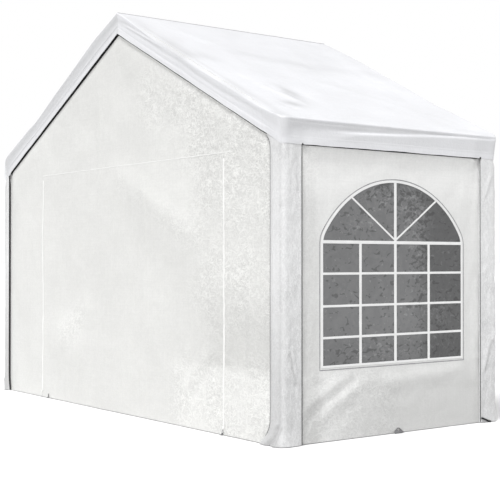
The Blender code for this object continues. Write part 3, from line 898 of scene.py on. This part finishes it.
# Each side wall is one sheet of the same sheeting with an arched opening for the window. Its foot is held at
# the corners and slack between them, so long folds run up from the near corner.
WALL_MIDDLE_X = 1.9805
WALL_EDGE_Y = 0.972
WALL_TOP = 2.0703
WINDOW_HALF = 0.652
WINDOW_FOOT = 0.480
WINDOW_TOP = 1.700
ARCH_RADIUS = 0.742
HAUNCH_RADIUS = 0.150
ARCH_CENTRE = WINDOW_TOP - ARCH_RADIUS
HAUNCH_REACH = ARCH_RADIUS - HAUNCH_RADIUS
HAUNCH_ACROSS = WINDOW_HALF - HAUNCH_RADIUS
HAUNCH_RISE = math.sqrt(HAUNCH_REACH**2 - HAUNCH_ACROSS**2)
HAUNCH_ANGLE = math.atan2(HAUNCH_RISE, HAUNCH_ACROSS)
CORNER_ANGLE = math.radians(52)
WALL_CELLS = (84, 96, 84)
WALL_RINGS = 24
# Each fold of the slack foot: its height, its start, its end and its width.
PULLED_FOLDS = (
    (0.0064, (-0.83, 0.20), (-0.44, 0.41), 0.022), (-0.0094, (-0.78, 0.14), (-0.37, 0.395), 0.032),
    (0.0078, (-0.68, 0.13), (-0.33, 0.380), 0.026), (-0.0046, (-0.60, 0.10), (-0.24, 0.345), 0.032),
    (0.0060, (-0.55, 0.17), (-0.20, 0.390), 0.040), (-0.0050, (-0.87, 0.28), (-0.56, 0.430), 0.028),
    (0.0080, (-0.10, 0.35), (0.62, 0.42), 0.045), (-0.0070, (-0.05, 0.26), (0.60, 0.31), 0.060),
)

side_cloth = sheeting("wall_sheeting_side", (0.480, 0.481, 0.475), (0.740, 0.741, 0.734), 0.34, 0.085,
                      (16, 20))


def even_places(line, count):
    """Count cells of equal length along a line of points."""
    line = np.asarray(line, float)
    run = run_along(line)
    places = np.linspace(0, run[-1], count + 1)
    return np.column_stack([np.interp(places, run, line[:, 0]), np.interp(places, run, line[:, 1])])[:-1]


def on_circle(across, up, radius, first, last, count):
    """Points round part of a circle."""
    angles = np.linspace(first, last, count)
    return [(across + radius * math.cos(a), up + radius * math.sin(a)) for a in angles]


def window_outline(grow):
    """Points round the window opening, grown by a margin, from its lower left corner and anticlockwise."""
    half = WINDOW_HALF + grow
    foot = WINDOW_FOOT - grow
    haunch = on_circle(HAUNCH_ACROSS, ARCH_CENTRE + HAUNCH_RISE, HAUNCH_RADIUS + grow, 0, HAUNCH_ANGLE, 12)
    arch = on_circle(0, ARCH_CENTRE, ARCH_RADIUS + grow, HAUNCH_ANGLE, math.pi / 2, 60)
    split = int(np.argmin([abs(math.atan2(v - ARCH_CENTRE, u) - CORNER_ANGLE) for u, v in arch]))
    right = [(half, foot)] + haunch + arch[1 : split + 1]
    over = arch[split:] + [(-u, v) for u, v in reversed(arch[split:-1])]
    left = [(-u, v) for u, v in reversed(right)]
    parts = [([(-half, foot), (half, foot)], WALL_CELLS[0]), (right, WALL_CELLS[1])]
    parts += [(over, WALL_CELLS[2]), (left, WALL_CELLS[1])]
    return np.concatenate([even_places(line, count) for line, count in parts])


def rectangle_outline():
    """As many points round the edge of the wall panel, corner to corner with the window's parts."""
    corners = [(-WALL_EDGE_Y, WALL_FOOT), (WALL_EDGE_Y, WALL_FOOT)]
    corners += [(across, WALL_TOP) for across in (WALL_EDGE_Y, -WALL_EDGE_Y)]
    counts = (*WALL_CELLS, WALL_CELLS[1])
    sides = zip(corners, corners[1:] + corners[:1], counts)
    return np.concatenate([even_places(side[:2], side[2]) for side in sides])


def window_distance(h, z):
    """About how far a place is outside the window opening."""
    low = WINDOW_FOOT - z
    beside = np.abs(h) - WINDOW_HALF
    over = np.hypot(h, z - ARCH_CENTRE) - ARCH_RADIUS
    return np.maximum(np.maximum(low, beside), np.where(z > ARCH_CENTRE, over, beside))


def side_creased(h, z):
    """How creased a window wall is: most at the foot near the front corner, and beside the window."""
    rough = 0.30 + 0.7 * smooth(z, 0.50, 0.36) * smooth(h, 0.35, -0.25) + 0.35 * smooth(h, -0.60, -0.78)
    return np.clip(rough * (0.8 + 0.5 * ripples(h, z, 0.22, 9.1)), 0.15, 1)


def side_relief(h, z, seed):
    """Folds of a window wall over its plane, at places h to the right of the middle as seen from outside."""
    free = smooth(np.abs(h), 0.970, 0.86) * smooth(z, -0.06, 0.09) * smooth(z, 1.90, 1.80)
    free = free * smooth(window_distance(h, z), 0.012, 0.075)
    soft = 0.0060 * ripples(h, z, 0.5, seed) + 0.0028 * ripples(h, z, 0.16, seed + 2)
    soft += 0.0055 * smooth(h, -0.62, -0.70) * ripples(h, z * 0.22, 0.085, seed + 4)
    soft += 0.0045 * smooth(h, 0.62, 0.70) * ripples(h, z * 0.25, 0.10, seed + 6)
    soft += 0.0040 * smooth(z, 1.62, 1.76) * ripples(h * 0.5, z, 0.16, seed + 7)
    low = smooth(z, 0.47, 0.36)
    bend = 0.014 * ripples(h, z, 0.22, seed + 5)
    pulled = folds(h + bend, z - bend, *PULLED_FOLDS)
    crumple = (0.0042 * low * smooth(h, 0.5, -0.3) + 0.0010) * creases(h, z * 1.3, 0.07, seed + 8)
    tucked = -0.0022 * hump(z - 0.462, 0.010) * smooth(np.abs(h), 0.56, 0.70)
    held_out = 0.016 * smooth(EAVE_HEM - z, 0.11, 0.01) * smooth(np.abs(h), 0.82, 0.74)
    return free * (soft + low * pulled + crumple + tucked) + held_out


def side_wear(h, z):
    """How creased and how pale a window wall is: duller beside the window and in the skirt under its seam."""
    pale = 0.49 + 0.30 * smooth(z, 1.45, 1.75) - 0.16 * smooth(h, -0.62, -0.72) * smooth(z, 1.80, 1.45)
    pale -= 0.16 * smooth(z, 1.2, 0.6) * smooth(h, -0.62, -0.70)
    pale -= 0.08 * smooth(z, 1.1, 0.5) * smooth(h, 0.62, 0.70)
    skirt = 0.16 + 0.34 * smooth(z, 0.42, 0.22) * smooth(h, -0.75, 0.0)
    pale -= smooth(z, 0.470, 0.455) * (skirt - patches(h, z, (0.22, (-0.66, 0.38), 0.34, 0.12)))
    return side_creased(h, z), pale


def side_points(h, z, relief, x_sign):
    """Places in the tent of points on a side wall's cloth."""
    return np.stack([x_sign * (WALL_MIDDLE_X + relief), x_sign * h, z], 1)


side_seeds = {"right": 23.7, "left": 71.3}
opening = window_outline(0)
panel_edge = rectangle_outline()
shares = np.linspace(0, 1, WALL_RINGS + 1)
rings = np.concatenate([opening + (panel_edge - opening) * share for share in shares])
for side, x_sign in SIDES.items():
    h, z = rings.T
    places = side_points(h, z, side_relief(h, z, side_seeds[side]), x_sign)
    faces = ring_faces(numbered(WALL_RINGS + 1, len(opening)))
    panel = cloth_piece(f"window_sheet_{side}", places, rings, side_wear(h, z), faces, side_cloth)
    fixed(panel, "wall_sheeting", f"window_wall_{side}")

# The window is one pane of clear vinyl film, rippled from being rolled up. It is drawn opaque and dark grey,
# painted shade for the dark inside seen through it, with painted light and shade on its ripples. A white
# border is welded over the edge of the opening with a grey strip round it, painted shadow along the border's
# edge, and white bars
# are laminated to both faces of the film: an arch with two spokes over four rows of four panes.
PANE_RINGS = 30
BORDER_IN = 0.0085
BORDER_OUT = 0.0060
SHADOW_LINE_START = BORDER_OUT + 0.0105
BORDER_SECTION = ((-BORDER_IN, -0.0026), (BORDER_OUT, -0.0026), (BORDER_OUT, 0.0022),
                  (BORDER_OUT - 0.0015, 0.0033), (-BORDER_IN + 0.0015, 0.0033), (-BORDER_IN, 0.0022))
SHADOW_LINE_SECTION = ((SHADOW_LINE_START, 0.0004), (SHADOW_LINE_START + 0.0062, 0.0004), (SHADOW_LINE_START + 0.0054, 0.0022),
                (SHADOW_LINE_START + 0.0006, 0.0022))
PANE_CENTRE = np.array([0, 1.09])

# The film is drawn opaque dark grey: painted shade for the dark inside of the tent seen through clear film.
film, tree, place = new_material("window_film_painted_dark")
swirl = clouds(tree, place, 7.0, 3.0, Distortion=2.2)
fine = clouds(tree, place, 17.0, 2.0, Distortion=2.2)
flat = flat_pattern(tree)
rippled = per_point(tree, "creased")
painted_film_shade = per_point(tree, "pale")
shaded = painted_film_shade
# Dark marks are painted shade and light marks painted highlights on the film's ripples.
for u_rate, v_rate, low, weight in ((19, 31, 0.640, -0.42), (25, 33, 0.690, 0.42)):
    raised = maths(tree, "MULTIPLY_ADD", rippled, 0.15, streaks(tree, flat, u_rate, v_rate, 1.5, 0.8))
    painted_ripple_marks = remapped(tree, raised, low, low + 0.05, 0.0, weight)
    shaded = maths(tree, "MULTIPLY_ADD", painted_ripple_marks, painted_film_shade, shaded)
# Painted highlights along winding crests of the ripples.
painted_crest_highlights = maths(tree, "MULTIPLY", crest(tree, streaks(tree, flat, 9, 7, 1.0, 2.4), 0.045), rippled)
shaded = maths(tree, "MULTIPLY_ADD", painted_crest_highlights, 0.30, shaded)
grey = two_tones(tree, swirl, 0.40, 0.60, (0.116, 0.117, 0.119), (0.130, 0.131, 0.133))
finish(film, Base_Color=scaled(tree, grey, shaded), Roughness=remapped(tree, swirl, 0, 1, 0.10, 0.24),
       Normal=bumped(tree, fine, 0.4, 0.003))
bar_white = mottled("window_bar_white", 12.0, 5.0, (0.3, 0.7), (0.65, 0.65, 0.65), (0.705, 0.705, 0.705),
                    (0.25, 0.45))
shadow_line_grey = mottled("border_shadow_line_grey", 30.0, 3.0, (0.3, 0.7), (0.17, 0.17, 0.18), (0.27, 0.27, 0.28), 0.5)


def pane_ripples_and_shade(h, z):
    """How rippled the film is, most over the middle of the arch and near its right and foot, and its painted
    shade.
    """
    rough = 0.15 + patches(h, z, (0.75, (-0.05, 1.62), 0.30, 0.09), (0.75, (0.16, 1.50), 0.16, 0.16),
                           (0.50, (-0.36, 1.40), 0.13, 0.09), (0.80, (0.24, 1.15), 0.10, 0.36),
                           (0.55, (0.45, 0.78), 0.14, 0.14), (0.70, (-0.10, 0.57), 0.55, 0.06))
    # Painted shade: the film is darker to its right and at its foot.
    painted_film_shade = 1.06 - 0.49 * smooth(h, 0.14, 0.40) - 0.10 * smooth(z, 0.68, 0.60)
    painted_film_shade += patches(h, z, (0.10, (-0.1, 0.80), 0.45, 0.16), (-0.22, (0.12, 1.66), 0.36, 0.07),
                    (-0.08, (0.25, 1.15), 0.07, 0.3))
    return np.clip(rough, 0, 1), painted_film_shade


def pane_relief(h, z, seed):
    """Ripples of the window film, flat along its edge."""
    free = smooth(-window_distance(h, z), 0.0, 0.06)
    swirls = 0.0011 * ripples(h, z, 0.11, seed) + 0.0007 * ripples(h, z, 0.045, seed + 4)
    return free * (swirls + 0.0022 * pane_ripples_and_shade(h, z)[0] * creases(h, z * 1.6, 0.07, seed + 7))


def frame_loop(name, section, x_sign, material, lowered=0):
    """A closed band round the window. The section has its corners as margin outside the opening and depth."""
    loops = [np.column_stack([window_outline(grow), np.full(len(opening), depth)]) for grow, depth in section]
    for loop in loops:
        loop[:, 1] -= lowered * smooth(loop[:, 1], 1.25, 1.62)
    points = np.concatenate([side_points(*loop.T, x_sign) for loop in loops])
    around = numbered(len(section), len(opening))
    return closed(new_piece(name, points, ring_faces(around + around[:1]), material), 30)


def bar(start, end, width, depth):
    """A flat bar with rounded edges through the film, between two places on the window."""
    run = Vector((end[0] - start[0], end[1] - start[1]))
    bpy.ops.mesh.primitive_cube_add(size=1, scale=(depth * 2, run.length, width))
    bpy.ops.object.transform_apply(location=True, rotation=True, scale=True)
    made = rounded(0.0012)
    made.data.transform(Matrix.Rotation(math.atan2(run.y, run.x), 4, "X"))
    middle = (WALL_MIDDLE_X, (start[0] + end[0]) / 2, (start[1] + end[1]) / 2)
    made.data.transform(Matrix.Translation(middle))
    return made


SILL = WINDOW_FOOT + 0.008
SPRING = 1.287
BAR_HALF = 0.648
BARS = [((-BAR_HALF, SPRING), (BAR_HALF, SPRING), 0.021, 0.0027)]
BARS += [((0, SILL), (0, WINDOW_TOP - 0.006), 0.0235, 0.0030)]
BARS += [((-BAR_HALF, level), (BAR_HALF, level), 0.0155, 0.0026) for level in (1.081, 0.871, 0.667)]
BARS += [((offset, SILL), (offset, SPRING), 0.022, 0.0029) for offset in (-0.319, 0.319)]
BARS += [((way * 0.004, 1.305), (way * 0.402, 1.586), 0.013, 0.0024) for way in (-1, 1)]
pane_shares = np.linspace(0.02, 1, PANE_RINGS + 1)
pane_edge = window_outline(-0.0004)
for side, x_sign in SIDES.items():
    disc = np.concatenate([PANE_CENTRE + (pane_edge - PANE_CENTRE) * share for share in pane_shares])
    h, z = disc.T
    places = side_points(h, z, pane_relief(h, z, side_seeds[side] + 31), x_sign)
    faces = ring_faces(numbered(len(pane_shares), len(pane_edge))) + [tuple(range(len(pane_edge)))]
    pane = cloth_piece(f"window_pane_{side}", places, disc, pane_ripples_and_shade(h, z), faces, film)
    fixed(pane, "window_film", f"window_film_{side}")
    border = frame_loop(f"window_border_{side}", BORDER_SECTION, x_sign, bar_white)
    # A grey strip round the border: painted shadow along the border's edge.
    shadow_line = frame_loop(f"window_border_shadow_line_{side}", SHADOW_LINE_SECTION, x_sign, shadow_line_grey, 0.0065)
    bpy.ops.object.select_all(action="DESELECT")
    lattice = one_piece(f"window_bars_{side}", [bar(*sizes) for sizes in BARS], bar_white)
    if x_sign < 0:
        lattice.data.transform(Matrix.Rotation(math.pi, 4, "Z"))
    for piece in (border, shadow_line, lattice):
        fixed(piece, "wall_sheeting")

# A sleeve of the same sheeting wraps each corner post from the ground to behind the valance. It is joined to
# the two walls along its upright edges, stands a little proud of them, is crumpled where it turns the corner,
# and spreads at its foot.
WALL_FACE_X = 1.9836
WALL_FACE_Y = 0.9836
SLEEVE_FACE_X = 1.9985
SLEEVE_FACE_Y = 0.9985
SLEEVE_RADIUS = 0.0470
SLEEVE_TOP = 1.988
SLEEVE_SIDE = 0.830
SLEEVE_STEP = 0.0125
# Each fold of a sleeve: its height, its start, its end and its width.
SLEEVE_FOLDS = (
    (0.0060, (-0.072, 0.25), (-0.066, 1.85), 0.014), (-0.0070, (-0.012, 0.10), (-0.012, 1.9), 0.012),
    (0.0085, (0.030, 0.66), (0.095, 0.40), 0.013), (0.0080, (0.075, 0.62), (0.125, 0.36), 0.012),
    (-0.0065, (0.048, 0.58), (0.112, 0.36), 0.010), (0.0090, (-0.100, -0.02), (-0.035, 0.15), 0.013),
    (-0.0100, (-0.075, -0.02), (-0.024, 0.13), 0.009), (0.0080, (-0.052, -0.02), (-0.008, 0.13), 0.009),
    (0.0060, (0.05, 1.80), (0.12, 1.62), 0.014),
)

sleeve_cloth = sheeting("sleeve_sheeting_white", (0.430, 0.431, 0.433), (0.690, 0.692, 0.696), 0.36, 0.130,
                        (36, 19))


def sleeve_line(arm):
    """Points across a sleeve's middle with the way each faces, in distances from the middle of the tent, and
    each point's run along the sleeve from its corner."""
    centre = np.array([SLEEVE_FACE_X - SLEEVE_RADIUS, SLEEVE_FACE_Y - SLEEVE_RADIUS])
    gable = [(arm, WALL_FACE_Y, -1, 0), (arm, 0.9905, -1, 0), (arm + 0.001, 0.9962, -0.7, 0.7)]
    start = arm + 0.005
    count = max(2, round((centre[0] - start) / 0.0105))
    gable += [(p, SLEEVE_FACE_Y, 0, 1) for p in np.linspace(start, centre[0], count + 1)[:-1]]
    turns = [(math.cos(a), math.sin(a)) for a in np.radians(np.linspace(90, 0, 9))]
    bend = [(centre[0] + SLEEVE_RADIUS * a, centre[1] + SLEEVE_RADIUS * b, a, b) for a, b in turns]
    side = [(SLEEVE_FACE_X, q, 1, 0) for q in np.linspace(centre[1], SLEEVE_SIDE + 0.005, 13)[1:]]
    side += [(1.9962, SLEEVE_SIDE + 0.001, 0.7, -0.7)]
    side += [(out, SLEEVE_SIDE, 0, -1) for out in (1.9905, WALL_FACE_X)]
    line = np.array(gable + bend + side)
    run = run_along(line[:, :2])
    return line, run - run[len(gable) + 4]


def sleeve_relief(s, z, seed, wide, hem):
    """Crumples and folds of a sleeve, s along it from the corner and positive on the side wall."""
    free = smooth(s, -wide + 0.017, -wide + 0.045) * smooth(s, 0.150, 0.120) * smooth(z, 1.93, 1.84)
    soft = 0.0042 * ripples(s, z * 0.22, 0.09, seed) + 0.0022 * ripples(s, z * 0.5, 0.04, seed + 2)
    crumple = 0.0052 * (creases(s, z * 0.45, 0.055, seed + 5) - 0.35) * smooth(s, -0.05, 0.03)
    cuff = 0.0018 * smooth(z - hem, -0.090, -0.030) * smooth(z - hem, 0.0055, 0.0005)
    cuff = cuff * smooth(s, -wide, -wide + 0.02) * smooth(s, 0.16, 0.13)
    return free * (soft + crumple + folds(s, z, *SLEEVE_FOLDS)) + cuff


def is_wide(arm):
    """Whether a sleeve reaches further over its gable, as the near right one does and the one opposite."""
    return arm < 1.9


def foot_spread(z, arm):
    """How far a sleeve's edge spreads over its gable, at its foot and in the round corner at its top."""
    at_foot, at_top = (0.112, 0.034) if is_wide(arm) else (0.022, 0.010)
    low = np.clip((0.165 - z) / 0.165, 0, 1)
    high = np.clip((z - 1.895) / 0.062, 0, 1)
    return at_foot * low**2 + at_top * high**2


def sleeve_crease_tone_and_shade(s, z):
    """How creased and how pale a sleeve is: more creased on its side wall half, duller on the other, with
    painted shade in the valleys of its folds.
    """
    creased = np.clip(0.35 + 0.3 * smooth(s, -0.05, 0.04) + 0.30 * ripples(s, z, 0.12, 4.8), 0.1, 1)
    # Painted shade along the valleys of the sleeve's folds.
    painted_fold_shade = folds(s, z, (1.1, (-0.078, -0.02), (-0.022, 0.135), 0.0075),
                  (0.9, (-0.048, 0.0), (-0.004, 0.12), 0.0065), (0.35, (0.048, 0.60), (0.112, 0.38), 0.008),
                  (0.25, (-0.012, 0.1), (-0.012, 1.9), 0.012))
    heights = [0, 0.19, 0.38, 0.60, 0.90, 1.15, 1.55, 1.85]
    pale = 0.54 + through(z, heights, [-0.18, -0.20, -0.15, -0.08, 0.01, 0.13, 0.11, -0.01])
    pale -= (0.19 * smooth(z, 1.0, 0.4) + 0.05 * smooth(z, 1.3, 1.6)) * smooth(s, 0.0, -0.03)
    return creased, pale - painted_fold_shade


sleeve_seeds = {"front_right": 5.2, "rear_left": 15.9, "front_left": 33.1, "rear_right": 58.4}
sleeve_rows = math.ceil((SLEEVE_TOP - WALL_FOOT) / SLEEVE_STEP)
hem_rows = np.array([0.030, 0.016, 0.0060, 0.0025, -0.006, -0.020])


def hem_over(p, q, s, x_sign, y_sign):
    """Height of the valance's hem over places on a sleeve."""
    here = (np.sign(edge_x) == x_sign) & (np.sign(edge_y) == y_sign)
    heights = []
    for place, chosen, along in ((p, here & on_gable, edge_x), (q, here & on_eave, edge_y)):
        order = np.argsort(np.abs(along[chosen]))
        heights.append(np.interp(place, np.abs(along[chosen])[order], hem_z[chosen][order]))
    return np.where(s < 0, *heights)


for corner_name, arm in SLEEVE_ARMS.items():
    end, side = corner_name.split("_")
    x_sign, y_sign = SIDES[side], ENDS[end]
    line, run = sleeve_line(arm)
    cut = run
    if corner_name == "front_left":
        cut = run + 0.040 * smooth(run, -0.055, -0.030) + 0.010 * smooth(run, 0.10, 0.185)
    count = len(line)
    hem = hem_over(line[:, 0], line[:, 1], run, x_sign, y_sign)[:, None]
    low_part = WALL_FOOT + (hem - hem_rows[0] - WALL_FOOT) * np.linspace(0, 1, sleeve_rows)[:-1]
    z = np.column_stack([low_part, hem - hem_rows, np.full(count, SLEEVE_TOP)])
    tall = z.shape[1]
    across_only = (run, cut, *line.T, hem[:, 0])
    s, across, p, q, facing_p, facing_q, hem = (np.repeat(column, tall) for column in across_only)
    z = z.ravel()
    relief = sleeve_relief(s, z, sleeve_seeds[corner_name], -run[0], hem)
    on_arm = smooth(s, -0.035, run[0])
    p = p + facing_p * relief - foot_spread(z, arm) * on_arm
    flare = (0.010 if is_wide(arm) else 0.004) * smooth(z, 0.10, 0.0) * smooth(np.abs(s), 0.16, 0.08)
    q = q + facing_q * (relief + flare)
    p = p + facing_p * flare
    bulge = smooth(np.abs(s), 0.14, 0.03) * smooth(z, 1.90, 1.82) * (not is_wide(arm))
    p = p + 0.006 * bulge
    q = q + 0.010 * bulge
    if corner_name == "front_left":
        p = p + (0.038 + 0.006 * smooth(z, 1.35, 1.86)) * smooth(s, -0.055, -0.030) * smooth(s, 0.185, 0.10)
    points = np.stack([x_sign * p, y_sign * q, z], 1)
    faces = grid_faces(count, tall)
    if x_sign * y_sign > 0:
        faces = [face[::-1] for face in faces]
    flat = np.stack([across, z], 1)
    sleeve = cloth_piece(f"sleeve_sheet_{corner_name}", points, flat, sleeve_crease_tone_and_shade(s, z), faces, sleeve_cloth)
    fixed(sleeve, "sleeve_sheeting", f"corner_sleeve_{corner_name}")

# Near-black webbing strips stand in for the shadow in the gaps along the edges: painted shadow. They lie
# along the top of each gable wall, where they show under the hem of the valance as a dark line, behind the
# hem at each eave, and over the upright edges of the sleeves.
RAKE_SHOWS = {"left": 0.0120, "right": 0.0112}
RAKE_HIDDEN = 0.0400
EAVE_SHOWS = 0.005
EAVE_HIDDEN = 0.011
EAVE_HALF = 0.8355
RAKE_THICK = 0.0012
EAVE_THICK = 0.0015
EDGE_THICK = 0.001
WIDE_EDGE_TOP = 1.957
NARROW_EDGE_TOP = 1.930
SIDE_EDGE_TOP = 1.899


def webbing_cloth(name, dark, pale):
    """Ribbed webbing, unevenly worn from a dark to a paler grey."""
    webbing = mottled(name, 14.0, 5.0, (0.3, 0.7), dark, pale, 0.75, Specular_IOR_Level=0.25)
    return ribbed(webbing, "Y", 0.0022, 0.5, 0.0005)


# Near-black webbing: painted shadow in the edge strips below, and the own colour of the dark foot straps.
webbing = webbing_cloth("shadow_strip_and_strap_charcoal", (0.014, 0.014, 0.015), (0.030, 0.030, 0.031))

# Painted shadow under the hem of each rake.
for end, y_sign in ENDS.items():
    for side, way in SIDES.items():
        h = np.linspace(0, 1, 140) * way
        h = h * (arm_edge(h) - (0.030 if is_wide(SLEEVE_ARMS[f"{end}_{side}"]) else 0.010))
        z = roof_middle(h) + CLOTH_MIDDLE - GABLE_HEM_DROP + (RAKE_HIDDEN - RAKE_SHOWS[side]) / 2
        places = [(h + way * shift * math.tan(PITCH), z + shift) for shift in (-0.022, -0.011, 0.0)]
        reliefs = [gable_relief(*place, gable_seeds[end]) for place in places]
        relief = np.max(reliefs, axis=0) + CLOTH / 2 + 0.0004
        across = (-y_sign * way * math.sin(PITCH), 0, math.cos(PITCH))
        wide = (RAKE_HIDDEN + RAKE_SHOWS[side]) * math.cos(PITCH)
        places = gable_points(h, z, relief, y_sign)
        edge = strap(f"rake_shadow_strip_{end}_{side}", places, across, (0, y_sign, 0), wide, RAKE_THICK, webbing)
        fixed(edge, "sleeve_sheeting")
# Painted shadow under the hem of each eave.
for side, x_sign in SIDES.items():
    h = np.linspace(-EAVE_HALF, EAVE_HALF, 40)
    z = np.full_like(h, EAVE_HEM + (EAVE_HIDDEN - EAVE_SHOWS) / 2)
    line = np.stack([np.full_like(h, x_sign * 2.0025), x_sign * h, z], 1)
    wide = EAVE_HIDDEN + EAVE_SHOWS
    edge = strap(f"eave_shadow_strip_{side}", line, (0, 0, 1), (x_sign, 0, 0), wide, EAVE_THICK, webbing)
    fixed(edge, "sleeve_sheeting")


def edge_shadow_strip(name, section, signs, top, spreading):
    """Webbing folded over an upright edge of a sleeve, near-black as painted shadow in the step between
    sleeve and wall; its section in distances from the tent's middle.
    """
    section = np.array(section)
    levels = np.concatenate([np.linspace(0.006, 0.12, 14)[:-1], np.linspace(0.12, top, 56)])
    p, q = (np.repeat(column, len(levels)) for column in section.T)
    z = np.tile(levels, len(section))
    flat = np.column_stack([np.repeat(run_along(section), len(levels)), z])
    points = np.stack([signs[0] * (p - spreading(z)), signs[1] * q, z], 1)
    faces = grid_faces(len(section), len(levels))
    edge = cloth_piece(name, points, flat, (0, 0), faces, webbing, EDGE_THICK)
    fixed(edge, "sleeve_sheeting")


# Painted shadow in the step at each upright edge of a sleeve.
for corner_name, arm in SLEEVE_ARMS.items():
    end, side = corner_name.split("_")
    x_sign, y_sign = SIDES[side], ENDS[end]
    on_gable = [(arm - 0.0017, 0.9842), (arm - 0.0017, 0.9905), (arm - 0.0004, 0.9974)]
    on_gable += [(arm + 0.0040, 1.0002)]
    on_side = [(1.9974, SLEEVE_SIDE - 0.0004), (2.0002, SLEEVE_SIDE + 0.0014), (2.0002, SLEEVE_SIDE + 0.0036)]
    if is_wide(arm):
        on_gable += [(arm + 0.0046, 1.0002)]
        on_side = [(1.9842, SLEEVE_SIDE - 0.0017), (1.9905, SLEEVE_SIDE - 0.0017), *on_side]
        on_side += [(2.0002, SLEEVE_SIDE + 0.0062)]
    else:
        on_gable = on_gable[1:]
        on_side = [(1.9962, SLEEVE_SIDE - 0.0012)] + on_side[:-1]
    top = WIDE_EDGE_TOP if is_wide(arm) else NARROW_EDGE_TOP
    signs = (x_sign, y_sign)
    edge_shadow_strip(f"gable_edge_shadow_strip_{corner_name}", on_gable, signs, top, lambda z: foot_spread(z, arm))
    edge_shadow_strip(f"side_edge_shadow_strip_{corner_name}", on_side, signs, SIDE_EDGE_TOP, lambda z: 0)

# Loops of grey webbing at the foot of the walls take the ground pegs: one at each lower corner of the doors,
# and a wider tab with a nickel eyelet in the middle of each window wall. Dark straps hold two corners.
PEG_LOOPS = {"left": -1.192, "right": 1.347}
LOOP_THICK = 0.0014
LOOP_WIDTH = 0.015
LOOP_HEIGHTS = (0.036, 0.027, 0.018, 0.010, 0.0045, 0.0028)
LOOP_OUT = (0.0, 0.0004, 0.001, 0.0025, 0.007, 0.018)
TAB_ALONG = 0.024
TAB_WIDTHS = (0.020, 0.038, 0.056, 0.074, 0.088, 0.096)
TAB_HEIGHTS = (0.034, 0.027, 0.020, 0.012, 0.006, 0.003)
EYELET_RADIUS = 0.0058
EYELET_WIRE = 0.0014

peg_webbing = webbing_cloth("peg_webbing_grey", (0.115, 0.115, 0.12), (0.20, 0.20, 0.205))


def bent_strap(name, places, way, across, width):
    """A strap of peg webbing that hangs down a wall facing that way, and bends out at its foot."""
    turned = ((1, 0), (1, 0), (1, 0), (0.8, 0.6), (0.3, 0.95), (0, 1))
    facing = [(way[0] * out, way[1] * out, up) for out, up in turned]
    fixed(strap(name, places, across, facing, width, LOOP_THICK, peg_webbing), "sleeve_sheeting")


for end, y_sign in ENDS.items():
    for side, h_loop in PEG_LOOPS.items():
        outs = zip(LOOP_HEIGHTS, LOOP_OUT)
        line = [(-y_sign * h_loop, y_sign * (WALL_FACE_Y + out), level) for level, out in outs]
        bent_strap(f"peg_loop_{end}_{side}", line, (0, y_sign), (1, 0, 0), LOOP_WIDTH)

nickel = mottled("eyelet_nickel", 220.0, 3.0, (0.3, 0.7), (0.38, 0.37, 0.35), (0.58, 0.57, 0.55),
                 (0.25, 0.45), Metallic=1.0)
for side, x_sign in SIDES.items():
    bpy.ops.object.select_all(action="DESELECT")
    middle = (x_sign * 1.9860, x_sign * TAB_ALONG, 0.0215)
    wire = ring(middle, (0, math.pi / 2, 0), EYELET_RADIUS, EYELET_WIRE, 28)
    eyelet = one_piece(f"peg_eyelet_{side}", [wire], nickel)
    eyelet.data.shade_smooth()
    fixed(eyelet, "sleeve_sheeting")
    outs = zip(TAB_HEIGHTS, LOOP_OUT)
    line = [(x_sign * (WALL_FACE_X + out), x_sign * TAB_ALONG, level) for level, out in outs]
    bent_strap(f"peg_tab_{side}", line, (x_sign, 0), (0, 1, 0), TAB_WIDTHS)

FOOT_STRAP_WIDTH = 0.014
FOOT_STRAP = ((2.002, 0.0, 0.034), (2.006, 0.018, 0.028), (2.009, 0.040, 0.019), (2.012, 0.064, 0.009),
              (2.016, 0.088, 0.0030))
for end, side in (("front", "left"), ("rear", "right")):
    x_sign, y_sign = SIDES[side], ENDS[end]
    line = [(x_sign * out, y_sign * (0.835 + run), level) for out, run, level in FOOT_STRAP]
    leaning = (0, y_sign * 0.45, 0.89)
    name = f"foot_strap_{end}_{side}"
    stub = strap(name, line, leaning, (x_sign, 0, 0), FOOT_STRAP_WIDTH, LOOP_THICK, webbing)
    fixed(stub, "sleeve_sheeting")
